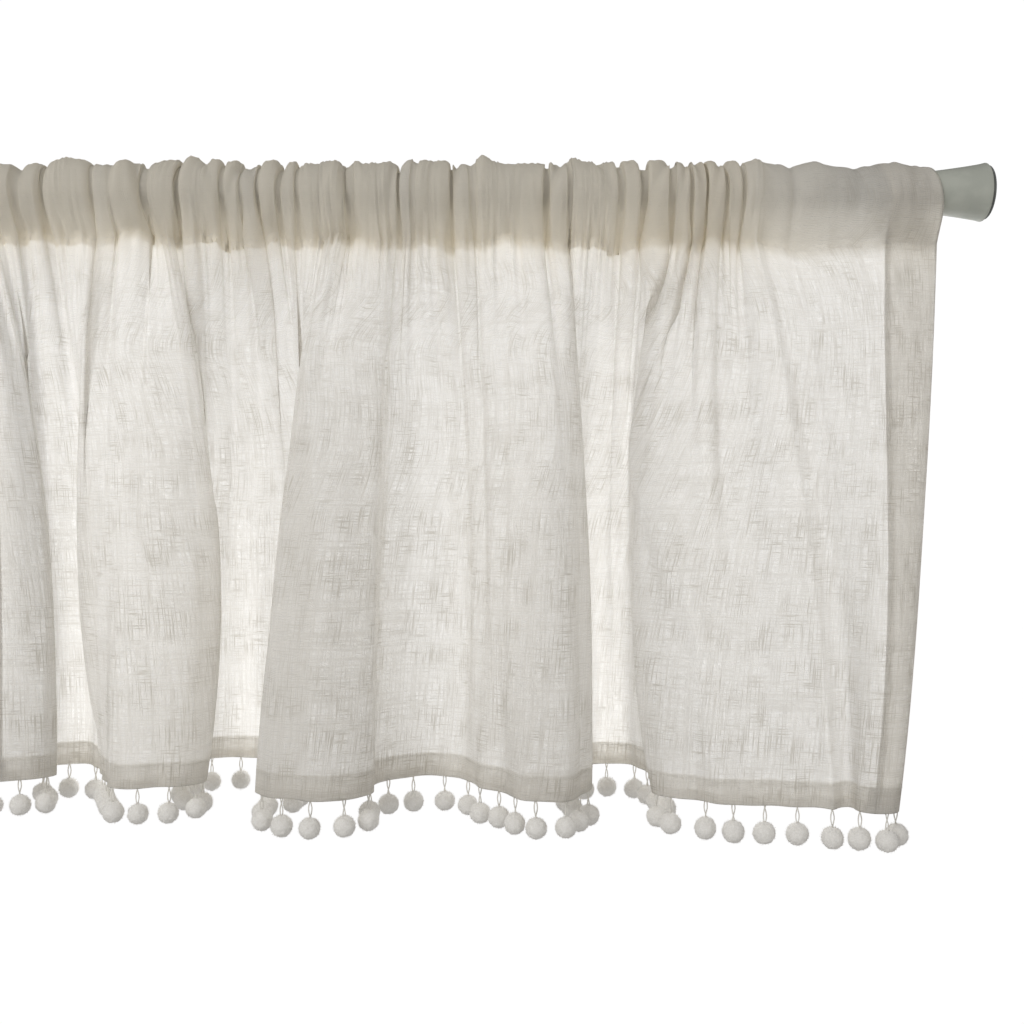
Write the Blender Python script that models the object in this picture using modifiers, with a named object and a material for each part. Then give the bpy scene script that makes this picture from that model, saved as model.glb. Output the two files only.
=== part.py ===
"""A sheer valance curtain gathered on a tension rod, with a pompom trim along its hem.

Units are metres. The origin is the middle of the left end pad's outer face. +X runs along
the rod to the right, -Y points into the room and +Z is up.
"""

from collections import namedtuple
from math import cos, pi, radians

import bmesh
import bpy
import numpy as np
from mathutils import Matrix

# Rod and its ends. CLEARANCE is the gap that keeps two touching pieces apart.
OVERALL_LENGTH = 0.690
ROD_RADIUS = 0.011
CAP_LENGTH = 0.0355
CAP_NECK_RADIUS = 0.0128
CAP_FLARE_RADIUS = 0.0179
CAP_FLARE_CURVE = 0.8
CAP_FLARE_STEPS = 6
CAP_RIM_BEVEL = 0.0008
CAP_SOCKET_DEPTH = 0.024
PAD_RADIUS = 0.0165
PAD_THICKNESS = 0.0016
CLEARANCE = 0.0003
ROUND_STEPS = 20
SHARP_ANGLE = 40

# Cloth. The stitch under the pocket sags a little from the left end to the right one. The
# pocket is wider at its two ends, which lie over the necks of the caps.
CLOTH_THICKNESS = 0.001
HEM_THICKNESS = 0.0018
PANEL_LEFT = 0.031
PANEL_RIGHT = 0.659
BOTTOM_HEM = 0.015
SIDE_HEM = 0.033
HEM_Z = -0.370
STITCH_Z_LEFT = -0.026
STITCH_Z_RIGHT = -0.032
POCKET_RADIUS = 0.0129
POCKET_END_RADIUS = 0.0152
POCKET_END_WIDTH = 0.012
POCKET_SEAM_GAP = 0.0005

# Trim. FIRST_POMPOM is how far the first and the last ball are from the tape's ends, as a
# share of the step between two balls. THREAD_TURN, in degrees, keeps the edges of a strand
# off the edges of its ball.
POMPOM_COUNT = 64
POMPOM_RADIUS = 0.0070
POMPOM_SIDES = 6
POMPOM_RINGS = 4
FIRST_POMPOM = 0.3
THREAD_LENGTH = 0.009
THREAD_RADIUS = 0.0006
THREAD_SIDES = 3
THREAD_TURN = 17
THREAD_ROOT = 0.0015
TAPE_HEIGHT = 0.006
TAPE_THICKNESS = 0.001
TAPE_GAP = 0.0005

# The hem seen from above, from the left edge to the right one. A row is one crest or turn of
# a fold: where it is at the hem, which way the cloth runs there (0 is to the right, 90 is away
# from the room), its x at mid height, where every fold is MID_HEIGHT_DEPTH as deep, and its x
# where it starts at the pocket's stitch.
MID_HEIGHT_DEPTH = 0.72
Fold = namedtuple("Fold", "hem_x hem_y runs mid_x top_x")
FOLDS = (
    Fold(0.044, 0.020, -30, 0.039, 0.031),
    Fold(0.066, 0.007, 0, 0.064, 0.048),
    Fold(0.098, 0.023, 90, 0.096, 0.065),
    Fold(0.082, 0.046, 88, 0.087, 0.083),
    Fold(0.102, 0.056, 0, 0.105, 0.098),
    Fold(0.127, 0.024, -60, 0.121, 0.123),
    Fold(0.158, -0.014, 0, 0.163, 0.164),
    Fold(0.199, 0.010, 90, 0.206, 0.182),
    Fold(0.176, 0.036, 90, 0.189, 0.188),
    Fold(0.200, 0.079, 0, 0.210, 0.217),
    Fold(0.255, 0.026, -90, 0.261, 0.253),
    Fold(0.234, -0.002, -90, 0.250, 0.274),
    Fold(0.277, -0.042, 0, 0.279, 0.292),
    Fold(0.309, -0.012, 65, 0.310, 0.317),
    Fold(0.336, 0.021, 0, 0.338, 0.336),
    Fold(0.373, -0.006, -60, 0.373, 0.364),
    Fold(0.410, -0.045, 0, 0.402, 0.395),
    Fold(0.442, -0.018, 90, 0.438, 0.426),
    Fold(0.430, 0.010, 85, 0.428, 0.431),
    Fold(0.457, 0.060, 0, 0.452, 0.454),
    Fold(0.487, 0.004, -78, 0.473, 0.493),
    Fold(0.506, -0.046, -22, 0.488, 0.507),
    Fold(0.562, -0.059, 0, 0.542, 0.536),
    Fold(0.584, -0.060, -28, 0.573, 0.548),
    Fold(0.602, -0.075, 3, 0.608, 0.610),
    Fold(0.617, -0.056, 75, 0.637, 0.659),
)

# The gathers of the pocket. A row is one ridge: its x along the rod and how far it stands
# in front of the valleys beside it.
Gather = namedtuple("Gather", "x rise")
GATHERS = (
    Gather(0.043, 0.004),
    Gather(0.055, 0.010),
    Gather(0.068, 0.012),
    Gather(0.080, 0.013),
    Gather(0.094, 0.011),
    Gather(0.112, 0.014),
    Gather(0.129, 0.011),
    Gather(0.139, 0.009),
    Gather(0.153, 0.015),
    Gather(0.178, 0.014),
    Gather(0.195, 0.010),
    Gather(0.207, 0.012),
    Gather(0.221, 0.011),
    Gather(0.231, 0.008),
    Gather(0.242, 0.012),
    Gather(0.255, 0.010),
    Gather(0.266, 0.013),
    Gather(0.282, 0.016),
    Gather(0.303, 0.014),
    Gather(0.318, 0.010),
    Gather(0.327, 0.007),
    Gather(0.337, 0.011),
    Gather(0.349, 0.012),
    Gather(0.362, 0.010),
    Gather(0.376, 0.013),
    Gather(0.389, 0.011),
    Gather(0.408, 0.014),
    Gather(0.420, 0.010),
    Gather(0.437, 0.013),
    Gather(0.454, 0.014),
    Gather(0.467, 0.012),
    Gather(0.484, 0.015),
    Gather(0.498, 0.016),
    Gather(0.508, 0.014),
    Gather(0.519, 0.016),
    Gather(0.530, 0.012),
    Gather(0.541, 0.009),
    Gather(0.561, 0.006),
    Gather(0.574, 0.005),
    Gather(0.601, 0.003),
    Gather(0.617, 0.002),
    Gather(0.640, 0.001),
)

# How deep the gathers are at the stitch and round the rod, as shares of their rise, and the
# power with which they fade on the way down to the hem.
GATHER_AT_STITCH = 0.6
GATHER_ROUND_ROD = 0.4
GATHER_FADE = 4.0

# How far the handles of each curve reach, as shares of the span between two rows.
GATHER_REACH = 0.45
FOLD_REACH = 0.40
SAMPLES_PER_SPAN = 24

# Where the cloth's own rows lie: shares of the way from the pocket's stitch to the hem, and
# degrees round the rod, where 0 is its front and 90 its top.
HEM_TOP = 1 - BOTTOM_HEM / (STITCH_Z_RIGHT - HEM_Z)
ABOVE_HEM = HEM_TOP - 0.02
SKIRT_ROWS = (1.0, HEM_TOP, ABOVE_HEM, 0.80, 0.65, 0.50, 0.35, 0.21, 0.09, 0.0)
POCKET_ROWS = (-30, 10, 50, 90, 130, 170, 210)
LONGEST_COLUMN_STEP = 0.0145


def curve_through(points, directions, reach):
    """Cubic spans through the points, which run the given way at each one, in degrees."""
    ways = np.array([(np.cos(a), np.sin(a)) for a in np.radians(directions)])
    t = np.linspace(0, 1, SAMPLES_PER_SPAN, endpoint=False)[:, None]
    spans = []
    for i in range(len(points) - 1):
        start, end = points[i], points[i + 1]
        handle = reach * np.linalg.norm(end - start)
        first = start + handle * ways[i]
        second = end - handle * ways[i + 1]
        spans.append(
            (1 - t) ** 3 * start
            + 3 * (1 - t) ** 2 * t * first
            + 3 * (1 - t) * t**2 * second
            + t**3 * end
        )
    return np.vstack(spans + [points[-1:]])


def share_along(line):
    """How far along the line each of its points is, from 0 to 1."""
    steps = np.linalg.norm(np.diff(line, axis=0), axis=1)
    travelled = np.concatenate([[0], np.cumsum(steps)])
    return travelled / travelled[-1]


def length_of(line):
    return np.linalg.norm(np.diff(line, axis=0), axis=1).sum()


def at(line, shares, wanted):
    """The points of the line at the wanted shares of its length."""
    return np.column_stack([np.interp(wanted, shares, line[:, i]) for i in range(2)])


def gather_points():
    """Ridges and the valleys between them, in plan: x, and y with the ridges to the front."""
    rows = [(PANEL_LEFT, 0.0)]
    for left, right in zip(GATHERS, GATHERS[1:]):
        rows.append((left.x, -left.rise / 2))
        rows.append(((left.x + right.x) / 2, (left.rise + right.rise) / 4))
    rows.append((GATHERS[-1].x, -GATHERS[-1].rise / 2))
    rows.append((PANEL_RIGHT, 0.0))
    return np.array(rows)


class Hang:
    """The shape in which the cloth hangs, as a surface over its width and its height."""

    def __init__(self):
        runs = [fold.runs for fold in FOLDS]
        hem = np.array([(fold.hem_x, fold.hem_y) for fold in FOLDS])
        middle = np.array([(fold.mid_x, MID_HEIGHT_DEPTH * fold.hem_y) for fold in FOLDS])
        self.hem = curve_through(hem, runs, FOLD_REACH)
        self.middle = curve_through(middle, runs, FOLD_REACH)
        self.hem_shares = share_along(self.hem)
        self.fold_shares = self.hem_shares[::SAMPLES_PER_SPAN]

        self.crests = gather_points()
        self.top = curve_through(self.crests, np.zeros(len(self.crests)), GATHER_REACH)
        self.top_shares = share_along(self.top)
        self.crest_shares = self.top_shares[::SAMPLES_PER_SPAN]

    def columns(self):
        """One column on each crest of the gathers, and more where two are far apart."""
        tops = [fold.top_x for fold in FOLDS]
        crests = np.interp(self.crests[:, 0], tops, self.fold_shares)
        flat = length_of(self.hem)
        shares = []
        for left, right in zip(crests, crests[1:]):
            pieces = int(np.ceil((right - left) * flat / LONGEST_COLUMN_STEP))
            shares.extend(np.linspace(left, right, pieces, endpoint=False))
        return np.array(shares + [1.0])

    def at_stitch(self, shares):
        """Level plan points above each share of the hem, and the gathered ones there."""
        level_x = np.interp(shares, self.fold_shares, [fold.top_x for fold in FOLDS])
        along = np.interp(level_x, self.crests[:, 0], self.crest_shares)
        level = np.column_stack([level_x, np.zeros(len(level_x))])
        return level, at(self.top, self.top_shares, along)

    def skirt(self, shares, down):
        """Points on the row that lies this share of the way from the stitch to the hem."""
        level, gathered = self.at_stitch(shares)
        middle = at(self.middle, self.hem_shares, shares)
        hem = at(self.hem, self.hem_shares, shares)
        plan = (
            2 * (down - 0.5) * (down - 1) * level
            + 4 * down * (1 - down) * middle
            + 2 * down * (down - 0.5) * hem
            + (1 - down) ** GATHER_FADE * GATHER_AT_STITCH * (gathered - level)
        )
        stitch = STITCH_Z_LEFT + (STITCH_Z_RIGHT - STITCH_Z_LEFT) * shares
        return np.column_stack([plan, stitch + (HEM_Z - stitch) * down])

    def pocket(self, shares, angle):
        """Points on the row at this angle round the rod. The folds cross over at its back."""
        gathered = self.at_stitch(shares)[1]
        wave = -gathered[:, 1]
        past_top = (angle - 90) / (POCKET_ROWS[-1] - 90)
        turn = cos(pi * max(0, past_top))
        x = gathered[:, 0]
        near_end = np.minimum(x - PANEL_LEFT, PANEL_RIGHT - x) / POCKET_END_WIDTH
        wider = np.clip(1 - near_end, 0, 1) * (POCKET_END_RADIUS - POCKET_RADIUS)
        rise = np.interp(x, [g.x for g in GATHERS], [g.rise for g in GATHERS])
        radius = POCKET_RADIUS + wider + GATHER_ROUND_ROD * (rise / 2 + turn * wave)
        around = radians(angle)
        return np.column_stack([x, -radius * np.cos(around), radius * np.sin(around)])


def behind(row, distance):
    """The same row moved back, so that it stays this far from each stretch of the cloth."""
    run = np.diff(row[:, :2], axis=0)
    run /= np.linalg.norm(run, axis=1)[:, None]
    before = np.vstack([run[:1], run])
    after = np.vstack([run, run[-1:]])
    middle = before + after
    middle /= 1 + (before * after).sum(axis=1)[:, None]
    moved = row.copy()
    moved[:, 0] -= distance * middle[:, 1]
    moved[:, 1] += distance * middle[:, 0]
    return moved


def named_material(name, colour, roughness, metallic):
    material = bpy.data.materials.new(name)
    material.use_nodes = True
    shader = material.node_tree.nodes["Principled BSDF"]
    shader.inputs["Base Color"].default_value = (*colour, 1)
    shader.inputs["Roughness"].default_value = roughness
    shader.inputs["Metallic"].default_value = metallic
    return material


def adopt(obj, name, material, collection):
    """Names the object, gives it its material and moves it into the collection."""
    obj.name = name
    obj.data.name = name
    obj.data.materials.clear()
    obj.data.materials.append(material)
    for old in list(obj.users_collection):
        old.objects.unlink(obj)
    collection.objects.link(obj)
    return obj


def grid_object(rows):
    """A grid primitive with a vertex on each point of these rows."""
    bpy.ops.mesh.primitive_grid_add(
        x_subdivisions=len(rows[0]) - 1, y_subdivisions=len(rows) - 1
    )
    obj = bpy.context.object
    obj.data.vertices.foreach_set("co", np.concatenate(rows).ravel())
    obj.data.update()
    return obj


def add_thickness(obj, thickness):
    solidify = obj.modifiers.new("Thickness", "SOLIDIFY")
    solidify.thickness = thickness
    solidify.offset = 0
    solidify.use_even_offset = True
    return solidify


def make_panel(hang, material, collection):
    """The cloth from its hem up to the stitch, round the rod and down behind the stitch."""
    shares = hang.columns()
    rows = [hang.skirt(shares, down) for down in SKIRT_ROWS]
    stitch = rows[-1]
    rows += [hang.pocket(shares, angle) for angle in POCKET_ROWS]
    rows.append(behind(stitch, CLOTH_THICKNESS + POCKET_SEAM_GAP))
    panel = adopt(grid_object(rows), "panel", material, collection)
    panel.data.shade_smooth()

    hems = panel.vertex_groups.new(name="hems")
    from_side = np.minimum(shares, 1 - shares) * length_of(hang.hem)
    bottom_rows = 2
    for column, distance in enumerate(from_side):
        for row in range(len(rows)):
            beside = distance < SIDE_HEM and row < len(SKIRT_ROWS) - 1
            turned = row < bottom_rows or beside
            hems.add([row * len(shares) + column], float(turned), "REPLACE")
    solidify = add_thickness(panel, HEM_THICKNESS)
    solidify.vertex_group = hems.name
    solidify.thickness_vertex_group = CLOTH_THICKNESS / HEM_THICKNESS
    return panel


def make_pompom_trim(hang, material, collection):
    """The tape behind the hem, joined with a strand and a ball at each step."""
    away = (HEM_THICKNESS + TAPE_THICKNESS) / 2 + TAPE_GAP
    shares = hang.columns()
    lower = behind(hang.skirt(shares, 1.0), away)
    hem_top = behind(hang.skirt(shares, HEM_TOP), away)
    upper = lower + (hem_top - lower) * TAPE_HEIGHT / BOTTOM_HEM
    trim = adopt(grid_object([lower, upper]), "pompom_trim", material, collection)
    add_thickness(trim, TAPE_THICKNESS)

    strands = bmesh.new()
    bottom = -THREAD_LENGTH - POMPOM_RADIUS / 2
    steps = np.linspace(FIRST_POMPOM, POMPOM_COUNT - FIRST_POMPOM, POMPOM_COUNT) / POMPOM_COUNT
    places = np.column_stack([np.interp(steps, shares, lower[:, i]) for i in range(3)])
    turn = Matrix.Rotation(radians(THREAD_TURN), 4, "Z")
    for x, y, z in places:
        bmesh.ops.create_uvsphere(
            strands,
            u_segments=POMPOM_SIDES,
            v_segments=POMPOM_RINGS,
            radius=POMPOM_RADIUS,
            matrix=Matrix.Translation((x, y, z - THREAD_LENGTH - POMPOM_RADIUS)),
        )
        bmesh.ops.create_cone(
            strands,
            cap_ends=True,
            segments=THREAD_SIDES,
            radius1=THREAD_RADIUS,
            radius2=THREAD_RADIUS,
            depth=THREAD_ROOT - bottom,
            matrix=Matrix.Translation((x, y, z + (THREAD_ROOT + bottom) / 2)) @ turn,
        )
    mesh = bpy.data.meshes.new("pompoms")
    strands.to_mesh(mesh)
    strands.free()
    pompoms = bpy.data.objects.new("pompoms", mesh)
    pompoms.hide_render = True
    pompoms.display_type = "WIRE"
    joined = bpy.data.collections.new("joined_shapes")
    bpy.context.scene.collection.children.link(joined)
    joined.objects.link(pompoms)
    union = trim.modifiers.new("Pompoms", "BOOLEAN")
    union.operation = "UNION"
    union.use_self = True
    union.object = pompoms
    return trim


def make_round_bar(name, radius, length, centre_x, material, collection):
    """A straight bar along the rod's axis."""
    bpy.ops.mesh.primitive_cylinder_add(
        vertices=ROUND_STEPS,
        radius=radius,
        depth=length,
        location=(centre_x, 0, 0),
        rotation=(0, pi / 2, 0),
    )
    bar = adopt(bpy.context.object, name, material, collection)
    bar.data.shade_smooth()
    bar.data.set_sharp_from_angle(angle=radians(SHARP_ANGLE))
    return bar


def make_cap(name, centre_x, facing, material, collection):
    """A turned cup: a socket for the rod at its neck and a flare out to its flat face."""
    half = CAP_LENGTH / 2
    bore = ROD_RADIUS + CLEARANCE
    flare = CAP_FLARE_RADIUS - CAP_NECK_RADIUS
    profile = [(0, half), (CAP_FLARE_RADIUS - CAP_RIM_BEVEL, half)]
    profile.append((CAP_FLARE_RADIUS, half - CAP_RIM_BEVEL))
    for step in range(1, CAP_FLARE_STEPS):
        share = step / CAP_FLARE_STEPS
        radius = CAP_FLARE_RADIUS - flare * share**CAP_FLARE_CURVE
        profile.append((radius, half - share * CAP_LENGTH))
    profile += [(CAP_NECK_RADIUS, -half), (bore, -half)]
    profile += [(bore, -half + CAP_SOCKET_DEPTH), (0, -half + CAP_SOCKET_DEPTH)]
    mesh = bpy.data.meshes.new(name)
    points = [(radius, 0, along) for radius, along in profile]
    edges = [(i, i + 1) for i in range(len(points) - 1)]
    mesh.from_pydata(points, edges, [])
    cap = bpy.data.objects.new(name, mesh)
    bpy.context.scene.collection.objects.link(cap)
    turned = cap.modifiers.new("Turned", "SCREW")
    turned.steps = turned.render_steps = ROUND_STEPS
    turned.use_merge_vertices = True
    turned.merge_threshold = 0.0001
    turned.use_normal_calculate = True
    turned.use_smooth_shade = True
    cap.location = (centre_x, 0, 0)
    cap.rotation_euler = (0, facing * pi / 2, 0)
    return adopt(cap, name, material, collection)


def make_rod(rod_material, cap_material, pad_material, collection):
    """The bar, a cap over each of its ends and a soft disc on each cap's outer face."""
    inset = PAD_THICKNESS + CLEARANCE + CAP_LENGTH - CAP_SOCKET_DEPTH + CLEARANCE
    middle = OVERALL_LENGTH / 2
    bar_length = OVERALL_LENGTH - 2 * inset
    make_round_bar("rod", ROD_RADIUS, bar_length, middle, rod_material, collection)
    to_cap = middle - PAD_THICKNESS - CLEARANCE - CAP_LENGTH / 2
    to_pad = middle - PAD_THICKNESS / 2
    for side, facing in (("left", -1), ("right", 1)):
        cap_x = middle + facing * to_cap
        pad_x = middle + facing * to_pad
        make_cap(f"end_cap_{side}", cap_x, facing, cap_material, collection)
        pad = f"end_pad_{side}"
        make_round_bar(pad, PAD_RADIUS, PAD_THICKNESS, pad_x, pad_material, collection)


def main():
    for obj in list(bpy.data.objects):
        bpy.data.objects.remove(obj, do_unlink=True)
    curtain = bpy.data.collections.new("valance_curtain")
    bpy.context.scene.collection.children.link(curtain)

    cloth = named_material("sheer_slub_cloth", (0.82, 0.80, 0.76), 0.9, 0.0)
    cotton = named_material("cotton_trim", (0.92, 0.91, 0.89), 0.95, 0.0)
    steel = named_material("painted_rod", (0.80, 0.80, 0.78), 0.35, 0.0)
    plastic = named_material("cap_plastic", (0.55, 0.57, 0.53), 0.4, 0.0)
    soft = named_material("pad_rubber", (0.30, 0.31, 0.30), 0.8, 0.0)

    hang = Hang()
    make_panel(hang, cloth, curtain)
    make_pompom_trim(hang, cotton, curtain)
    make_rod(steel, plastic, soft, curtain)

    print(f"hem length along its folds {length_of(hang.hem):.3f} m")
    print(f"mid height {length_of(hang.middle):.3f} m, stitch line {length_of(hang.top):.3f} m")
    print(f"{len(hang.columns())} columns")


main()
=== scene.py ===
# %% [markdown]
# # A short sheer curtain on a tension rod
#
# The object is a valance: a strip of sheer slub cloth, about twice as wide as the window, that
# is gathered on a sprung rod. A pompom trim hangs from its bottom hem. Each cell below builds
# one piece or one finish of it, and the cell of text before it says what the real thing is and
# why it is made this way.
#
# The first cell loads the plain solids, which hold the true sizes and places.

from collections import namedtuple
from math import cos, pi, radians, sin

import bpy
import numpy as np
from mathutils import Matrix, Vector


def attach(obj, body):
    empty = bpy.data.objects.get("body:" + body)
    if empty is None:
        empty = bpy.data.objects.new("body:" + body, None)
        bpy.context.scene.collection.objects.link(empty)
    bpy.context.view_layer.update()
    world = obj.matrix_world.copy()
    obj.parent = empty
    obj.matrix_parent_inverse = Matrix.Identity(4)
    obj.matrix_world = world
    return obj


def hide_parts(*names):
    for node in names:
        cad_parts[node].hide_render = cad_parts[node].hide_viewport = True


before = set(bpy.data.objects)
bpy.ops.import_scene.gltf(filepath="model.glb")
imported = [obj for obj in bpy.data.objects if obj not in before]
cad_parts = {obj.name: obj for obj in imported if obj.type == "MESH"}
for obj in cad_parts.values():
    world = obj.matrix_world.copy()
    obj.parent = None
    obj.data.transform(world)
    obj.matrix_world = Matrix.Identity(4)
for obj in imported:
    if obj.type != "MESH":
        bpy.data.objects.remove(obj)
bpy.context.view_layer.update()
print("solids:", sorted(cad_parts))

# %% [markdown]
# ## Sizes
#
# A maker works from a cutting list. These are the curtain's own sizes in metres: the rod and its
# ends first, then the cloth, then the trim. The origin is the middle of the left end's outer
# face, +X runs along the rod to the right, -Y points into the room and +Z is up.

# %% Sizes
OVERALL_LENGTH = 0.690
ROD_RADIUS = 0.011
CAP_LENGTH = 0.0355
CAP_NECK_RADIUS = 0.0128
CAP_FLARE_RADIUS = 0.0179
CAP_SOCKET_DEPTH = 0.024
PAD_RADIUS = 0.0165
PAD_THICKNESS = 0.0016
CLEARANCE = 0.0003

PANEL_LEFT = 0.031
PANEL_RIGHT = 0.659
FLAT_WIDTH = 1.219
BOTTOM_HEM = 0.015
SIDE_HEM = 0.033
SIDE_HEM_TURN = 0.004
HEM_Z = -0.370
STITCH_Z_LEFT = -0.026
STITCH_Z_RIGHT = -0.032
POCKET_RADIUS = 0.0129
POCKET_END_RADIUS = 0.0152
POCKET_END_WIDTH = 0.012
LAYER_GAP = 0.0004
MID_HEIGHT_DEPTH = 0.72

POMPOM_COUNT = 64
POMPOM_RADIUS = 0.0070
FIRST_POMPOM = 0.3
THREAD_LENGTH = 0.009
TAPE_HEIGHT = 0.006
TAPE_BEHIND = 0.0019
fullness = FLAT_WIDTH / (PANEL_RIGHT - PANEL_LEFT)
print(f"the cloth is {fullness:.2f} times as wide as the space that it fills on the rod")

# %% [markdown]
# ## Where the folds are
#
# Cloth on a rod hangs in folds that were set when it was pushed along the rod. Two short tables
# place them. The first has a row for each crest or turn of a deep fold: where it is at
# the hem, which way the cloth runs there (0 is to the right, 90 is away from the room), its x at
# mid height and its x at the pocket's stitch. The second has a row for each gather of the
# pocket: its x, and how far its ridge stands in front of the valleys beside it.

# %% Tables of folds and gathers
Fold = namedtuple("Fold", "hem_x hem_y runs mid_x top_x")
FOLDS = [Fold(*row) for row in (
    (0.044, 0.020, -30, 0.039, 0.031), (0.066, 0.007, 0, 0.064, 0.048),
    (0.098, 0.023, 90, 0.096, 0.065), (0.082, 0.046, 88, 0.087, 0.083),
    (0.102, 0.056, 0, 0.105, 0.098), (0.127, 0.024, -60, 0.121, 0.123),
    (0.158, -0.014, 0, 0.163, 0.164), (0.199, 0.010, 90, 0.206, 0.182),
    (0.176, 0.036, 90, 0.189, 0.188), (0.200, 0.079, 0, 0.210, 0.217),
    (0.255, 0.026, -90, 0.261, 0.253), (0.234, -0.002, -90, 0.250, 0.274),
    (0.277, -0.042, 0, 0.279, 0.292), (0.309, -0.012, 65, 0.310, 0.317),
    (0.336, 0.021, 0, 0.338, 0.336), (0.373, -0.006, -60, 0.373, 0.364),
    (0.410, -0.045, 0, 0.402, 0.395), (0.442, -0.018, 90, 0.438, 0.426),
    (0.430, 0.010, 85, 0.428, 0.431), (0.457, 0.060, 0, 0.452, 0.454),
    (0.487, 0.004, -78, 0.473, 0.493), (0.506, -0.046, -22, 0.488, 0.507),
    (0.562, -0.059, 0, 0.542, 0.536), (0.584, -0.060, -28, 0.573, 0.548),
    (0.602, -0.075, 3, 0.608, 0.610), (0.617, -0.056, 75, 0.637, 0.659),
)]

Gather = namedtuple("Gather", "x rise")
GATHERS = [Gather(*row) for row in (
    (0.043, 0.004), (0.055, 0.010), (0.068, 0.012), (0.080, 0.013), (0.094, 0.011),
    (0.112, 0.014), (0.129, 0.011), (0.139, 0.009), (0.153, 0.015), (0.178, 0.014),
    (0.195, 0.010), (0.207, 0.012), (0.221, 0.011), (0.231, 0.008), (0.242, 0.012),
    (0.255, 0.010), (0.266, 0.013), (0.282, 0.016), (0.303, 0.014), (0.318, 0.010),
    (0.327, 0.007), (0.337, 0.011), (0.349, 0.012), (0.362, 0.010), (0.376, 0.013),
    (0.389, 0.011), (0.408, 0.014), (0.420, 0.010), (0.437, 0.013), (0.454, 0.014),
    (0.467, 0.012), (0.484, 0.015), (0.498, 0.016), (0.508, 0.014), (0.519, 0.016),
    (0.530, 0.012), (0.541, 0.009), (0.561, 0.006), (0.574, 0.005), (0.601, 0.003),
    (0.617, 0.002), (0.640, 0.001),
)]

# How deep the valley after each gather is. At 0 the two ridges are one broad pillow, at 1 the
# valley is as deep as its ridges are high, and past that it is a tight dark crease.
VALLEY_DEPTHS = (
    0.8, 1.2, 0.5, 0.9, 1.1, 0.0, 1.0, 0.6, 1.4, 1.4,
    0.2, 1.1, 0.8, 1.3, 1.0, 0.9, 0.3, 1.2, 0.2, 1.5,
    0.9, 0.3, 1.5, 0.8, 0.0, 0.1, 1.3, 0.8, 0.0, 1.0,
    1.4, 0.9, 0.8, 1.6, 1.0, 1.2, 0.5, 0.7, 0.9, 1.0,
    1.0,
)
print(len(FOLDS), "turns of the folds,", len(GATHERS), "gathers")

# %% [markdown]
# ## Smooth lines through the tables
#
# Seen from above, each row of the cloth is one line that winds through the folds. A cubic span
# joins two rows of a table, and its handles give the line its direction there. A point on the
# cloth is then found by its share of the width, from 0 at the left edge to 1 at the right.

# %% Curves seen from above
SAMPLES_PER_SPAN = 24
FOLD_REACH = 0.40
GATHER_REACH = 0.45


def curve_through(points, directions, reach):
    """Cubic spans through the points, which run the given way at each one, in degrees."""
    ways = np.array([(np.cos(a), np.sin(a)) for a in np.radians(directions)])
    t = np.linspace(0, 1, SAMPLES_PER_SPAN, endpoint=False)[:, None]
    spans = []
    for i in range(len(points) - 1):
        start, end = points[i], points[i + 1]
        handle = reach * np.linalg.norm(end - start)
        first = start + handle * ways[i]
        second = end - handle * ways[i + 1]
        spans.append(
            (1 - t) ** 3 * start
            + 3 * (1 - t) ** 2 * t * first
            + 3 * (1 - t) * t**2 * second
            + t**3 * end
        )
    return np.vstack(spans + [points[-1:]])


def way_along(line):
    """The way along the line to each of its points, in metres."""
    steps = np.linalg.norm(np.diff(line, axis=0), axis=1)
    return np.concatenate([[0], np.cumsum(steps)])


def share_along(line):
    """How far along the line each of its points is, from 0 to 1."""
    travelled = way_along(line)
    return travelled / travelled[-1]


def at(line, shares, wanted):
    """The points of the line at the wanted shares of its length."""
    columns = [np.interp(wanted, shares, line[:, i]) for i in range(line.shape[1])]
    return np.column_stack(columns)


def gather_points():
    """Ridges and the valleys between them, in plan: x, and y with the ridges to the front."""
    rows = [(PANEL_LEFT, 0.0)]
    for left, right, depth in zip(GATHERS, GATHERS[1:], VALLEY_DEPTHS):
        rows.append((left.x, -left.rise / 2))
        middle = (left.x + right.x) / 2
        rows.append((middle, (2 * depth - 1) * (left.rise + right.rise) / 4))
    rows.append((GATHERS[-1].x, -GATHERS[-1].rise / 2))
    rows.append((PANEL_RIGHT, 0.0))
    return np.array(rows)


runs = [fold.runs for fold in FOLDS]
hem_points = np.array([(fold.hem_x, fold.hem_y) for fold in FOLDS])
mid_points = np.array([(fold.mid_x, MID_HEIGHT_DEPTH * fold.hem_y) for fold in FOLDS])
hem_line = curve_through(hem_points, runs, FOLD_REACH)
mid_line = curve_through(mid_points, runs, FOLD_REACH)
hem_shares = share_along(hem_line)
fold_shares = hem_shares[::SAMPLES_PER_SPAN]

crests = gather_points()
gather_line = curve_through(crests, np.zeros(len(crests)), GATHER_REACH)
hem_length = np.linalg.norm(np.diff(hem_line, axis=0), axis=1).sum()
print(f"the hem is {hem_length:.3f} m long round its folds")

# %% [markdown]
# ## Pillowy gathers
#
# A gather in a rod pocket isn't an even wave. Its ridge is round and broad like a small pillow,
# and the cloth on both sides meets in a narrow dark crease. So each half of a gather is pushed
# towards its valley, some more than others, and every gather gets its own lean and its own
# swell at the top of the rod.

# %% Pinch the valleys between the gathers
LEAST_PINCH, MOST_PINCH = 0.10, 0.38
LARGEST_LEAN = 0.0036
FULL_LEAN_RISE = 0.012
LEAST_SWELL, MOST_SWELL = 0.20, 1.10
SHORTEST_FADE, LONGEST_FADE = 1.3, 4.5

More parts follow.
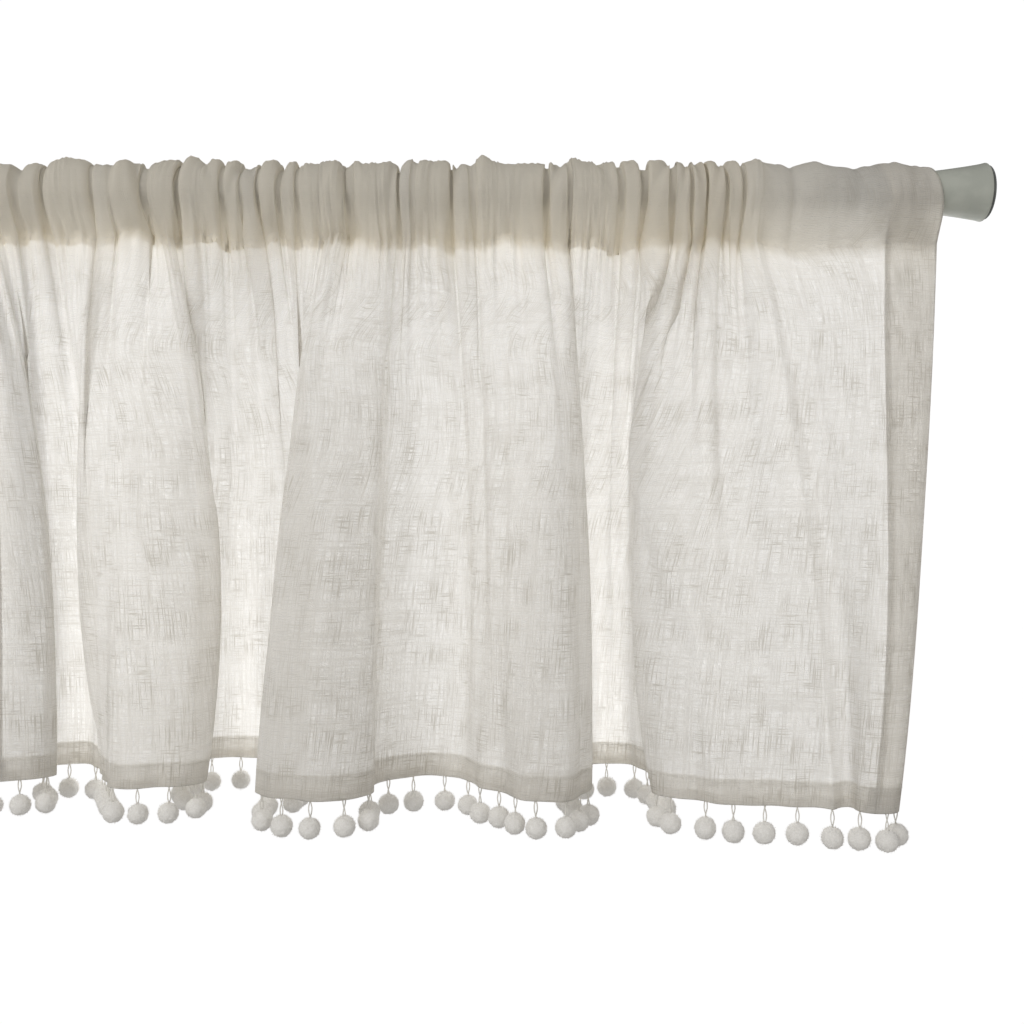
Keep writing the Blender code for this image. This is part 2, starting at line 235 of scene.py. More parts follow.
random = np.random.default_rng(11)
span_steps = np.linspace(0, 1, SAMPLES_PER_SPAN, endpoint=False)
for span in range(1, len(crests) - 2):
    to_valley = 1 if span % 2 == 1 else -1
    push = to_valley * random.uniform(LEAST_PINCH, MOST_PINCH)
    push *= crests[span + 1, 0] - crests[span, 0]
    first = span * SAMPLES_PER_SPAN
    gather_line[first:first + SAMPLES_PER_SPAN, 0] += push * np.sin(pi * span_steps)
gather_shares = share_along(gather_line)
crest_shares = gather_shares[::SAMPLES_PER_SPAN]

gather_x = np.array([gather.x for gather in GATHERS])
gather_rises = np.array([gather.rise for gather in GATHERS])
gather_leans = random.uniform(-LARGEST_LEAN, LARGEST_LEAN, len(GATHERS))
gather_leans *= np.clip(gather_rises / FULL_LEAN_RISE, 0, 1)
gather_swells = random.uniform(LEAST_SWELL, MOST_SWELL, len(GATHERS))
crest_fades = random.uniform(SHORTEST_FADE, LONGEST_FADE, len(crests))
print(f"the gathers take {way_along(gather_line)[-1]:.3f} m of cloth")

# %% [markdown]
# ## Small creases and soft waves
#
# Between the deep folds the cloth is never flat. Short tables add what the hand feels there:
# long creases that were pressed in or pulled down from the stitch, slow waves over the whole
# width, tight puckers that die out a little way below the stitch, and a stitch line that wanders.
# A crease's place is a row number of the table of folds, so 23.5 is halfway between rows 23 and
# 24. It starts and ends at a share of the way down, and one that ends past 1 runs on into the
# hem.

# %% Creases, waves and puckers
Crease = namedtuple("Crease", "top hem height width starts ends")
CREASES = [Crease(*row) for row in (
    (1.30, 1.60, 0.0030, 0.010, -0.1, 0.8), (2.60, 2.50, -0.0025, 0.010, 0.0, 1.3),
    (4.30, 4.60, -0.0030, 0.010, 0.0, 1.4), (5.34, 4.95, 0.0068, 0.011, -0.1, 0.9),
    (5.70, 6.40, 0.0034, 0.008, 0.0, 0.7), (6.05, 6.30, 0.0055, 0.009, -0.1, 0.6),
    (6.50, 6.90, -0.0050, 0.008, -0.1, 0.9), (7.10, 7.00, -0.0055, 0.007, -0.1, 0.5),
    (8.20, 8.00, 0.0060, 0.009, -0.1, 0.6), (9.40, 9.80, 0.0060, 0.010, -0.1, 0.6),
    (10.20, 9.70, -0.0030, 0.009, 0.0, 1.5), (11.40, 11.60, 0.0040, 0.010, -0.1, 1.3),
    (12.10, 12.20, 0.0060, 0.022, 0.0, 2.0), (12.75, 12.70, 0.0060, 0.010, -0.1, 1.1),
    (13.40, 13.35, -0.0045, 0.011, -0.1, 1.8), (14.30, 14.20, -0.0030, 0.010, 0.0, 1.2),
    (15.00, 14.90, 0.0036, 0.010, -0.1, 1.0), (15.70, 15.50, -0.0034, 0.011, 0.0, 1.6),
    (16.30, 16.20, 0.0040, 0.010, -0.1, 1.5), (16.80, 16.70, -0.0030, 0.008, 0.0, 1.3),
    (17.30, 17.20, 0.0028, 0.008, 0.0, 1.0), (19.30, 19.10, 0.0034, 0.010, -0.1, 1.2),
    (19.70, 21.90, 0.0080, 0.011, -0.1, 0.8), (20.55, 20.45, 0.0110, 0.014, -0.1, 2.0),
    (21.30, 21.20, 0.0040, 0.012, -0.1, 1.8), (21.80, 21.75, -0.0034, 0.010, 0.0, 1.5),
    (22.35, 22.30, 0.0036, 0.012, -0.1, 1.7), (22.80, 22.76, 0.0095, 0.0070, -0.1, 2.0),
    (23.05, 23.00, -0.0065, 0.0065, -0.1, 2.0), (24.20, 24.20, 0.0020, 0.012, 0.0, 1.2),
)]

Wave = namedtuple("Wave", "height across lean start")
SOFT_WAVES = (
    Wave(0.0014, 19, 0.7, 0.10),
    Wave(0.0010, 31, -0.9, 0.37),
    Wave(0.0006, 53, 1.3, 0.72),
)
PUCKERS = (
    Wave(0.0010, 97, 0.8, 0.20),
    Wave(0.0007, 141, -1.1, 0.61),
    Wave(0.0004, 203, 1.7, 0.43),
)
PUCKER_FADE = 9
SEAM_WAVES = (
    Wave(0.0018, 11, 0, 0.15),
    Wave(0.0014, 26, 0, 0.55),
    Wave(0.0009, 58, 0, 0.80),
)
SEAM_FADE = 5
print(len(CREASES), "creases between the folds")

# %% [markdown]
# ## Slanting creases on the pocket
#
# Cloth that is pushed along a rod doesn't gather straight. Its folds lean over and lie on their
# neighbours like leaves. Each row of this table is one such crease on the pocket's front: its x
# at the top of the rod, its x at the stitch, its height and its width. A height below 0 is a dark
# crease, and one above 0 is the pillow beside it. In two broad low places at the right the cloth
# comes close to the rod, which shows there as a faint shadow.

# %% Slanting creases
Slant = namedtuple("Slant", "top stitch height width")
SLANTS = [Slant(*row) for row in (
    (0.062, 0.056, -0.0030, 0.0030), (0.086, 0.094, -0.0035, 0.0030),
    (0.106, 0.103, -0.0030, 0.0026), (0.118, 0.124, 0.0020, 0.0080),
    (0.158, 0.145, 0.0034, 0.0050), (0.158, 0.167, -0.0036, 0.0028),
    (0.193, 0.189, 0.0030, 0.0045), (0.201, 0.213, -0.0034, 0.0028),
    (0.227, 0.218, -0.0040, 0.0026), (0.229, 0.237, -0.0034, 0.0026),
    (0.248, 0.254, -0.0034, 0.0030), (0.262, 0.266, -0.0024, 0.0030),
    (0.288, 0.290, -0.0036, 0.0022), (0.297, 0.292, 0.0030, 0.0040),
    (0.322, 0.317, -0.0042, 0.0026), (0.330, 0.333, 0.0030, 0.0040),
    (0.361, 0.355, -0.0044, 0.0026), (0.378, 0.369, 0.0032, 0.0045),
    (0.426, 0.412, -0.0044, 0.0026), (0.433, 0.422, 0.0034, 0.0045),
    (0.446, 0.456, -0.0034, 0.0028), (0.489, 0.476, -0.0044, 0.0026),
    (0.502, 0.495, -0.0044, 0.0024), (0.508, 0.511, -0.0050, 0.0024),
    (0.523, 0.516, -0.0044, 0.0024), (0.526, 0.530, -0.0036, 0.0024),
    (0.543, 0.549, 0.0036, 0.0060), (0.565, 0.565, -0.0022, 0.0050),
    (0.582, 0.585, 0.0032, 0.0080), (0.605, 0.605, -0.0022, 0.0080),
    (0.631, 0.628, 0.0034, 0.0110),
)]
SLANT_FADE = 12
SLANT_AT_STITCH = 0.4


def slant_heights(x, towards_top):
    """How far the slanting creases lift the cloth, from the stitch at 0 to the rod's top at 1."""
    strength = SLANT_AT_STITCH + (1 - SLANT_AT_STITCH) * towards_top
    total = np.zeros(len(x))
    for slant in SLANTS:
        centre = slant.stitch + (slant.top - slant.stitch) * towards_top
        total += slant.height * strength * np.exp(-(((x - centre) / slant.width) ** 2))
    return total


print(len(SLANTS), "slanting creases on the pocket")

# %% [markdown]
# ## Adding them up
#
# Two functions turn the tables into heights. The first sums up waves over the width of the cloth,
# and the second sums up the creases on one row of it.

# %% Heights of the waves and the creases


def waves(table, shares, down):
    """The sum of the table's waves over the width, each leaning as it runs down the cloth."""
    total = np.zeros(len(shares))
    for wave in table:
        turns = wave.across * shares + wave.lean * down + wave.start
        total += wave.height * np.sin(2 * pi * turns)
    return total


def crease_heights(shares, down):
    """How far the creases lift the cloth on the row that lies this share of the way down."""
    total = np.zeros(len(shares))
    numbers = np.arange(len(FOLDS))
    for crease in CREASES:
        place = crease.top + (crease.hem - crease.top) * down
        centre = np.interp(place, numbers, fold_shares)
        through = (down - crease.starts) / (crease.ends - crease.starts)
        length = sin(pi * min(1, max(0, through))) ** 0.5 if 0 < through < 1 else 0
        across = (shares - centre) * hem_length / crease.width
        total += crease.height * length * np.exp(-(across**2))
    return total


halfway = waves(SOFT_WAVES, np.linspace(0, 1, 500), 0.5)
print(f"halfway down, the soft waves are up to {halfway.max():.4f} m high")

# %% [markdown]
# ## The shape of the cloth
#
# The real panel is one cut of cloth. Its bottom and its sides are turned under and sewn, and its
# top goes over the rod and down again behind, where the stitch closes it into a pocket. A cloth
# simulation would move the folds away from the places that were measured, so the rows of the
# cloth are worked out instead: each one blends the level stitch line, the line at mid height and
# the hem along a parabola, and near the stitch the gathers are added. Angles go round the rod in
# degrees, from 0 at its front to 90 at its top.

# %% Rows of the skirt and of the pocket
DROP = STITCH_Z_RIGHT - HEM_Z
HEM_TOP = 1 - BOTTOM_HEM / DROP
GATHER_AT_STITCH = 0.6
GATHER_ROUND_ROD = 0.4
CROWN = 0.0022
EDGE_DRAWN_IN = 0.008
LEAST_OFF_ROD = 0.0005
SOFT_WAVE_GROWTH = 0.7
RIDGE_TURNS_OVER = 120
PUCKERS_ROUND_ROD = 0.6
PUCKER_TURN = 300
SLANTS_FROM, SLANTS_TO = -35, 90
SLANTS_END, SLANTS_FADE_OVER = 125, 60
DRAWN_IN_WIDTH = 0.04


def at_stitch(shares):
    """Level plan points above each share of the hem, and the gathered ones there."""
    level_x = np.interp(shares, fold_shares, [fold.top_x for fold in FOLDS])
    along = np.interp(level_x, crests[:, 0], crest_shares)
    level = np.column_stack([level_x, np.zeros(len(level_x))])
    return level, at(gather_line, gather_shares, along)


def towards_room(row):
    """The level direction that the cloth faces at each point of the row, on the room's side."""
    run = np.gradient(row[:, :2], axis=0)
    run /= np.linalg.norm(run, axis=1)[:, None]
    return np.column_stack([run[:, 1], -run[:, 0], np.zeros(len(run))])


def skirt(shares, down):
    """Points on the row that lies this share of the way from the stitch to the hem."""
    level, gathered = at_stitch(shares)
    middle = at(mid_line, hem_shares, shares)
    hem = at(hem_line, hem_shares, shares)
    fades = np.interp(level[:, 0], crests[:, 0], crest_fades)
    fading = (1 - down) ** fades
    plan = (
        2 * (down - 0.5) * (down - 1) * level
        + 4 * down * (1 - down) * middle
        + 2 * down * (down - 0.5) * hem
        + fading[:, None] * GATHER_AT_STITCH * (gathered - level)
    )
    stitch = STITCH_Z_LEFT + (STITCH_Z_RIGHT - STITCH_Z_LEFT) * shares
    ends = np.clip(np.minimum(shares, 1 - shares) * hem_length / SIDE_HEM, 0, 1)
    uneven = waves(SEAM_WAVES, shares, 0) * ends * (1 - down) ** SEAM_FADE
    row = np.column_stack([plan, stitch + (HEM_Z - stitch) * down + uneven])
    row[:, 1] -= slant_heights(row[:, 0], 0) * ends * (1 - down) ** SLANT_FADE
    lift = crease_heights(shares, down)
    lift += waves(SOFT_WAVES, shares, down) * down**SOFT_WAVE_GROWTH
    lift += waves(PUCKERS, shares, down) * (1 - down) ** PUCKER_FADE
    return row + towards_room(row) * (lift * ends)[:, None]


def pocket(shares, angle):
    """Points on the row at this angle round the rod: 0 is its front and 90 its top."""
    gathered = at_stitch(shares)[1]
    x = gathered[:, 0]
    over = max(0, sin(radians(angle))) ** 2
    wave = -gathered[:, 1] * cos(pi * max(0, (angle - 90) / RIDGE_TURNS_OVER))
    near_end = np.minimum(x - PANEL_LEFT, PANEL_RIGHT - x) / POCKET_END_WIDTH
    inner = np.clip(near_end, 0, 1)
    wider = (1 - inner) * (POCKET_END_RADIUS - POCKET_RADIUS)
    rise = np.interp(x, gather_x, gather_rises)
    swell = 1 + over * (np.interp(x, gather_x, gather_swells) - 1)
    puckers = PUCKERS_ROUND_ROD * np.abs(waves(PUCKERS, shares, angle / PUCKER_TURN)) * inner
    ridges = GATHER_ROUND_ROD * swell * (rise / 2 + wave)
    up = min(1, max(0, (angle - SLANTS_FROM) / (SLANTS_TO - SLANTS_FROM)))
    fading = min(1, max(0, (SLANTS_END - angle) / SLANTS_FADE_OVER))
    slants = slant_heights(x, up) * inner * fading
    radius = POCKET_RADIUS + wider + CROWN * over * inner + ridges + puckers + slants
    radius = np.maximum(radius, ROD_RADIUS + LEAST_OFF_ROD + wider)
    around = radians(angle)
    from_edge = (PANEL_RIGHT - x) / DRAWN_IN_WIDTH
    drawn_in = EDGE_DRAWN_IN * up * np.clip(1 - from_edge, 0, 1) ** 2
    x = x + over * inner * np.interp(x, gather_x, gather_leans) - drawn_in
    return np.column_stack([x, -radius * np.cos(around), radius * np.sin(around)])


lowest = skirt(np.linspace(0, 1, 200), 1.0)[:, 1]
print(f"the hem swings from {lowest.min():.3f} to {lowest.max():.3f} m in depth")

# %% [markdown]
# ## Layers where the cloth is turned
#
# A hem shows in sheer cloth because there are two or three layers of it, so the layers are real
# here. Each row carries the direction to the cloth's inner side. The side hems are extra columns
# on that side: the hem's second layer, then its raw edge, turned in once more. Where a side hem
# meets the bottom hem, the layers lie on each other. A last function says how closely the
# gathers crowd the threads together. Crowded cloth is denser, and the same value also turns its
# colour darker and warmer there as painted shade.

# %% The layers of the side hems
FRONT_COLUMNS = 860
SECOND_COLUMNS = 12
THIRD_COLUMNS = 7
FINE_STEPS = 4000
EASE = 0.006
CROWDED_AND_SHADED_RISE = 0.011
LEAST_CROWDED_AND_SHADED = 0.25
CROWDING_AND_SHADE_FADE = 26

even_shares = np.linspace(0, 1, FINE_STEPS)
even_x = at_stitch(even_shares)[0][:, 0]
along_gathers = np.interp(even_x, crests[:, 0], crest_shares)
columns_before = (even_shares + along_gathers) / 2
front_shares = np.interp(np.linspace(0, 1, FRONT_COLUMNS), columns_before, even_shares)
second_layer = np.linspace(LAYER_GAP, SIDE_HEM, SECOND_COLUMNS)
third_layer = np.linspace(SIDE_HEM, SIDE_HEM - SIDE_HEM_TURN, THIRD_COLUMNS + 1)[1:]


def with_side_hems(row, inward, crowding_and_shade):
    """The row with its side hems' layers, which lie on the inner side of the cloth. The places in
    the flat cloth and the crowding of its threads, also a painted shade, come with the points."""
    along = way_along(row)
    width = along[-1]
    folded_back = 2 * SIDE_HEM - third_layer
    parts = (
        (2, third_layer[::-1], -folded_back[::-1]),
        (1, second_layer[::-1], -second_layer[::-1]),
        (0, along, along * FLAT_WIDTH / width),
        (1, width - second_layer, FLAT_WIDTH + second_layer),
        (2, width - third_layer, FLAT_WIDTH + folded_back),
    )
    points, across, crowded_and_shaded = [], [], []
    for layer, places, flat in parts:
        side = at(inward, along, places)
        points.append(at(row, along, places) + side * LAYER_GAP * layer)
        across.append(flat)
        crowded_and_shaded.append(np.interp(places, along, crowding_and_shade))
    return np.vstack(points), np.concatenate(across), np.concatenate(crowded_and_shaded)


def layers_here(row):
    """How thick the turned cloth is, from one gap in the middle to five at the side hems."""
    along = way_along(row)
    from_side = np.minimum(along, along[-1] - along)
    near = np.clip((SIDE_HEM + EASE - from_side) / EASE, 0, 1)
    return (LAYER_GAP * (1 + 4 * near))[:, None]


def crowding_and_shade_of(shares, down):
    """How closely the gathers crowd the threads, from 0 to 1, on a row of the skirt. It also sets
    the painted shade there.
    """
    level = at_stitch(shares)[0]
    rise = np.interp(level[:, 0], gather_x, gather_rises)
    return np.clip(rise / CROWDED_AND_SHADED_RISE, LEAST_CROWDED_AND_SHADED, 1) * (1 - down) ** CROWDING_AND_SHADE_FADE


print("the side hems take", SECOND_COLUMNS + THIRD_COLUMNS, "more columns on each side")

# %% [markdown]
# ## From the hem to the pocket
#
# The rows run the way that the cloth does. They start at the inner edge of the bottom hem, turn
# round its fold, go up the skirt to the stitch, over the rod and down behind it to the raw edge.
# Only a few rows of the pocket are worked out, and smooth lines join them. Each row carries its
# height in the flat cloth, in metres above the hem's fold.

# %% All rows of the cloth
SKIRT_STEPS = 56
SKIRT_CLOSER_ABOVE = 1.35
NEAR_HEM = (0.985, 0.9975)
FOLD_RAISED = 0.0003
POCKET_ANGLES = (-35, -10, 15, 40, 65, 90, 115, 140, 165, 190, 215)
POCKET_STEPS = 34
SEAM_ALLOWANCE = 0.006
SEAM_BEHIND = 0.0010
POCKET_FLAT = 0.090


def smooth_rows(keys, count):
    """Rows on smooth lines through the key rows, at even steps."""
    gaps = np.linalg.norm(np.diff(keys, axis=0), axis=2).mean(axis=1)
    t = np.concatenate([[0], np.cumsum(gaps)])
    slopes = np.gradient(keys, t, axis=0)
    rows = []
    for wanted in np.linspace(0, t[-1], count):
        i = min(np.searchsorted(t, wanted, side="right") - 1, len(t) - 2)
        span = t[i + 1] - t[i]
        s = (wanted - t[i]) / span
        rows.append(
            (2 * s**3 - 3 * s**2 + 1) * keys[i]
            + (s**3 - 2 * s**2 + s) * span * slopes[i]
            + (3 * s**2 - 2 * s**3) * keys[i + 1]
            + (s**3 - s**2) * span * slopes[i + 1]
        )
    return rows


def hem_rows():
    """The bottom hem's turned layer, from its inner edge down to the fold."""
    rows = []
    for down in (HEM_TOP, *NEAR_HEM, 1.0):
        raised = FOLD_RAISED if down == 1.0 else 0.0
        row = skirt(front_shares, down)
        room = towards_room(row)
        turned = row - room * layers_here(row) + np.array([0, 0, raised])
        rows.append((turned, room, 0 * front_shares, -(1 - down) * DROP))
    return rows


def skirt_rows():
    """The skirt, from the hem's fold up to the stitch."""
    above = np.linspace(1, 0, SKIRT_STEPS) ** SKIRT_CLOSER_ABOVE * HEM_TOP
    rows = []
    for down in (1.0, *reversed(NEAR_HEM), *above):
        row = skirt(front_shares, down)
        crowding_and_shade = crowding_and_shade_of(front_shares, down)
        rows.append((row, -towards_room(row), crowding_and_shade, (1 - down) * DROP))
    return rows


def pocket_rows():
    """The pocket, from the stitch round the rod and down to the raw edge behind the stitch."""
    stitch = skirt(front_shares, 0.0)
    seam = stitch - towards_room(stitch) * (SEAM_BEHIND + layers_here(stitch))
    keys = np.array([stitch] + [pocket(front_shares, a) for a in POCKET_ANGLES] + [seam])
    crowding_and_shade = crowding_and_shade_of(front_shares, 0.0)
    rows = []
    for number, row in enumerate(smooth_rows(keys, POCKET_STEPS)[1:], start=1):
        inward = -row * (0, 1, 1)
        inward /= np.linalg.norm(inward, axis=1)[:, None]
        height = DROP + POCKET_FLAT * number / (POCKET_STEPS - 1)
        rows.append((row, inward, crowding_and_shade, height))
    edge = seam - towards_room(stitch) * LAYER_GAP - np.array([0, 0, SEAM_ALLOWANCE])
    height = DROP + POCKET_FLAT + SEAM_ALLOWANCE
    rows.append((edge, towards_room(stitch), crowding_and_shade, height))
    return rows


cloth_rows, cloth_flat, cloth_crowding_and_shade = [], [], []
for row, inward, crowding_and_shade, height in hem_rows() + skirt_rows() + pocket_rows():
    points, across, crowded_and_shaded = with_side_hems(row, inward, crowding_and_shade)
    cloth_rows.append(points)
    cloth_flat.append(np.column_stack([across, np.full(len(across), height)]))
    cloth_crowding_and_shade.append(crowded_and_shaded)
print(len(cloth_rows), "rows of", len(cloth_rows[0]), "points")

# %% [markdown]
# ## The panel's mesh
#
# The sheet starts as a grid primitive with one vertex for each point of the rows. Its UV map is
# the flat cloth in metres, so a thread of the weave stays the same width wherever the cloth
# goes. The panel is left as a single skin: light passes through each layer once, as it should.

# %% Build the panel


def deselect_all():
    if bpy.context.mode != "OBJECT":
        bpy.ops.object.mode_set(mode="OBJECT")
    bpy.ops.object.select_all(action="DESELECT")


def sheet_from(rows, name, flat):
    """A grid with a vertex on each point of the rows, and a UV map in metres of flat cloth."""
    deselect_all()
    bpy.ops.mesh.primitive_grid_add(
        x_subdivisions=len(rows[0]) - 1, y_subdivisions=len(rows) - 1
    )
    piece = bpy.context.object
    piece.name = piece.data.name = name
    piece.data.vertices.foreach_set("co", np.concatenate(rows).ravel())
    corners = np.empty(len(piece.data.loops), dtype=np.int32)
    piece.data.loops.foreach_get("vertex_index", corners)
    flat = np.concatenate(flat)
    piece.data.uv_layers.active.data.foreach_set("uv", flat[corners].ravel())
    piece.data.shade_smooth()
    piece.data.update()
    return piece


panel = sheet_from(cloth_rows, "cloth_panel", cloth_flat)
# The crowding attribute makes the cloth denser where the gathers crowd, and also sets a painted
# shade there.
crowded_and_shaded = panel.data.attributes.new("crowding_and_shade", "FLOAT", "POINT")
crowded_and_shaded.data.foreach_set("value", np.concatenate(cloth_crowding_and_shade))
print("panel:", 2 * len(panel.data.polygons), "triangles")

# %% [markdown]
# ## Help for building node trees
#
# Every finish below is a small tree of nodes. These helpers add a node with its settings and
# link it, so that a tree reads from top to bottom. A node group gets its sockets by name.

# %% Helpers for materials


def add_node(tree, kind, settings=None, **inputs):
    """A node with these settings. An input goes by its label, or by i and its number, and is a
    value or another node's socket."""
    node = tree.nodes.new(kind)
    for name, value in (settings or {}).items():
        setattr(node, name, value)
    for name, value in inputs.items():
        key = int(name[1:]) if name[0] == "i" and name[1:].isdigit() else name
        key = key.replace("_", " ") if isinstance(key, str) else key
        socket = node.inputs[key]
        if isinstance(value, bpy.types.NodeSocket):
            tree.links.new(value, socket)
        elif socket.type == "RGBA" and len(value) == 3:
            socket.default_value = (*value, 1)
        else:
            socket.default_value = value
    return node


def math(tree, operation, a, b=0.0, c=0.0):
    settings = {"operation": operation}
    return add_node(tree, "ShaderNodeMath", settings, i0=a, i1=b, i2=c).outputs[0]


def clamped(tree, value, low, high, to_low=0.0, to_high=1.0):
    """The value mapped from one range to another, and held inside it."""
    node = add_node(
        tree, "ShaderNodeMapRange", {"interpolation_type": "SMOOTHSTEP"},
        Value=value, From_Min=low, From_Max=high, To_Min=to_low, To_Max=to_high,
    )
    return node.outputs[0]


def noise(tree, place, scale, detail, roughness=0.5, across="3D"):
    """A cloudy value from 0 to 1. Across "2D" it varies over a flat map alone."""
    node = add_node(
        tree, "ShaderNodeTexNoise", {"noise_dimensions": across},
        Vector=place, Scale=scale, Detail=detail, Roughness=roughness,
    )
    return node.outputs[0]


def bumped(tree, height, strength, distance):
    """A surface direction that the height tilts."""
    node = add_node(tree, "ShaderNodeBump", Height=height, Strength=strength, Distance=distance)
    return node.outputs[0]


def new_group(name, inputs, outputs):
    """An empty shader group, with its input and output nodes."""
    tree = bpy.data.node_groups.new(name, "ShaderNodeTree")
    for label, kind, value in inputs:
        socket = tree.interface.new_socket(label, in_out="INPUT", socket_type=kind)
        if value is not None:
            socket.default_value = value
    for label, kind in outputs:
        tree.interface.new_socket(label, in_out="OUTPUT", socket_type=kind)
    return tree, tree.nodes.new("NodeGroupInput"), tree.nodes.new("NodeGroupOutput")


def new_material(name):
    material = bpy.data.materials.new(name)
    material.use_nodes = True
    material.node_tree.nodes.clear()
    output = material.node_tree.nodes.new("ShaderNodeOutputMaterial")
    return material, material.node_tree, output


def place_group(tree, group, **inputs):
    return add_node(tree, "ShaderNodeGroup", {"node_tree": group}, **inputs)


def blend_colours(tree, factor, first, second):
    """One colour where the factor is 0 and the other where it is 1."""
    node = add_node(
        tree, "ShaderNodeMix", {"data_type": "RGBA"}, Factor=factor, i6=first, i7=second
    )
    return node.outputs[2]


def let_glow(tree, output, front, glow, **inputs):
    """Finish a material with its front shader, and a glow of light that comes from behind."""
    through = add_node(tree, "ShaderNodeBsdfTranslucent", **inputs)
    both = add_node(
        tree, "ShaderNodeMixShader", Fac=glow, i1=front.outputs[0], i2=through.outputs[0]
    )
    tree.links.new(both.outputs[0], output.inputs["Surface"])


def set_material(piece, material):
    piece.data.materials.clear()
    piece.data.materials.append(material)


print("helpers are ready in Blender", bpy.app.version_string)

# %% [markdown]
# ## The slub weave
#
# The cloth is a loose plain weave. Its threads are spun unevenly, so short thick places, called
# slubs, show as dark dashes both ways, and tiny openings between the threads let the light
# through. The group reads the flat cloth in metres. It makes two sets of threads, lets them
# wander, thickens them where a stretched noise is high, adds fainter and longer thick threads,
# and puts out how much of the surface the threads cover, how dark they are and how high they
# stand. The table has a row for each set of threads: its pitch, and how noise is stretched into
# its slubs and its long thick threads.

# %% The weave as a node group
Threads = namedtuple("Threads", "axis pitch slub_stretch slub_start long_stretch")
THREADS = (
    Threads(0, 0.00078, (1400.0, 46.0, 1.0), 0.49, (1050.0, 11.0, 1.0)),
    Threads(1, 0.00084, (62.0, 1600.0, 1.0), 0.53, (13.0, 1150.0, 1.0)),
)
SLUB_FADE = 0.20
WANDER = 0.0024
WANDER_SCALE = 110.0
PATCH_SCALE = 42.0
CLOUD_SCALE = 320.0
CLOUD_ROUGHNESS = 0.7
LONG_ONES_SHOW = 0.42
THREAD_OPENINGS = 0.6
THIN_PLACE_OPENINGS = 0.30
SLUB_COVER = 0.55


def stretched_noise(tree, flat, stretch, shift, detail):
    """Noise that the stretch draws out along one set of threads."""
    spread = add_node(tree, "ShaderNodeMapping", Vector=flat, Scale=stretch, Location=shift)
    return noise(tree, spread.outputs[0], 1.0, detail, across="2D")


def weave_group():
    tree, given, made = new_group(
        "slub_weave",
        [
            ("Flat Cloth", "NodeSocketVector", None),
            ("Openness", "NodeSocketFloat", 0.5),
        ],
        [
            ("Cover", "NodeSocketFloat"),
            ("Slub Mask", "NodeSocketFloat"),
            ("Cloudy", "NodeSocketFloat"),
            ("Height", "NodeSocketFloat"),
        ],
    )
    flat = given.outputs["Flat Cloth"]
    openness = given.outputs["Openness"]
    wander = noise(tree, flat, WANDER_SCALE, 0.0, across="2D")
    drift = math(tree, "MULTIPLY", math(tree, "SUBTRACT", wander, 0.5), WANDER)
    patches = noise(tree, flat, PATCH_SCALE, 1.0, across="2D")
    patchy = clamped(tree, patches, 0.28, 0.72, 0.40, 1.0)
    parts = add_node(tree, "ShaderNodeSeparateXYZ", Vector=flat)
    threads, slubs, thin_places, long_ones = [], [], [], []
    for way in THREADS:
        place = math(tree, "ADD", parts.outputs[way.axis], drift)
        turns = math(tree, "DIVIDE", place, way.pitch)
        threads.append(math(tree, "MULTIPLY", math(tree, "PINGPONG", turns, 0.5), 2.0))
        shift = (3.1 * way.axis, 7.7 * way.axis, 0.0)
        streak = stretched_noise(tree, flat, way.slub_stretch, shift, 1.0)
        slubs.append(clamped(tree, streak, way.slub_start, way.slub_start + SLUB_FADE))
        thin_places.append(clamped(tree, streak, 0.44, 0.22))
        long_one = stretched_noise(tree, flat, way.long_stretch, (0.0, 0.0, 0.0), 0.0)
        long_ones.append(clamped(tree, long_one, 0.42, 0.78))
    slub = math(tree, "MULTIPLY", math(tree, "MAXIMUM", *slubs), patchy)
    long_one = math(tree, "MULTIPLY", math(tree, "MAXIMUM", *long_ones), LONG_ONES_SHOW)
    slub = math(tree, "MAXIMUM", slub, long_one)
    thin_place = math(tree, "MAXIMUM", *thin_places)
    cloudy = noise(tree, flat, CLOUD_SCALE, 2.0, CLOUD_ROUGHNESS, across="2D")
    top = math(tree, "MAXIMUM", *threads)
    filled = clamped(tree, top, 0.10, 0.80)
    openings = math(tree, "MULTIPLY", math(tree, "SUBTRACT", 1.0, filled), THREAD_OPENINGS)
    openings = math(tree, "MULTIPLY_ADD", thin_place, THIN_PLACE_OPENINGS, openings)
    openings = math(tree, "ADD", openings, math(tree, "MULTIPLY_ADD", cloudy, -0.5, 0.42))
    opened = math(tree, "MULTIPLY", openings, openness)
    cover = math(tree, "SUBTRACT", 1.0, opened)
    cover = math(tree, "MULTIPLY_ADD", slub, SLUB_COVER, cover)
    height = math(tree, "MULTIPLY_ADD", slub, 0.7, math(tree, "MULTIPLY", top, 0.5))
    tree.links.new(clamped(tree, cover, 0.0, 1.0), made.inputs["Cover"])
    tree.links.new(slub, made.inputs["Slub Mask"])
    tree.links.new(cloudy, made.inputs["Cloudy"])
    tree.links.new(height, made.inputs["Height"])
    return tree


slub_weave = weave_group()
print("the weave has", len(slub_weave.nodes), "nodes")

# %% [markdown]
# ## The cloth's finish
#
# Sheer cloth does three things with light: some of it goes straight through the openings, some
# glows through the threads from behind, and some comes back from the front. A Translucent shader
# gives the glow and a Principled one the rest: its alpha is how much the threads cover.

# %% The cloth's material
SLUBS_SHOW = 0.64
CROWDED_SLUBS_SHOW = 0.12
CLOUDS_SHOW = 0.2
THREAD_HEIGHT = 0.00025


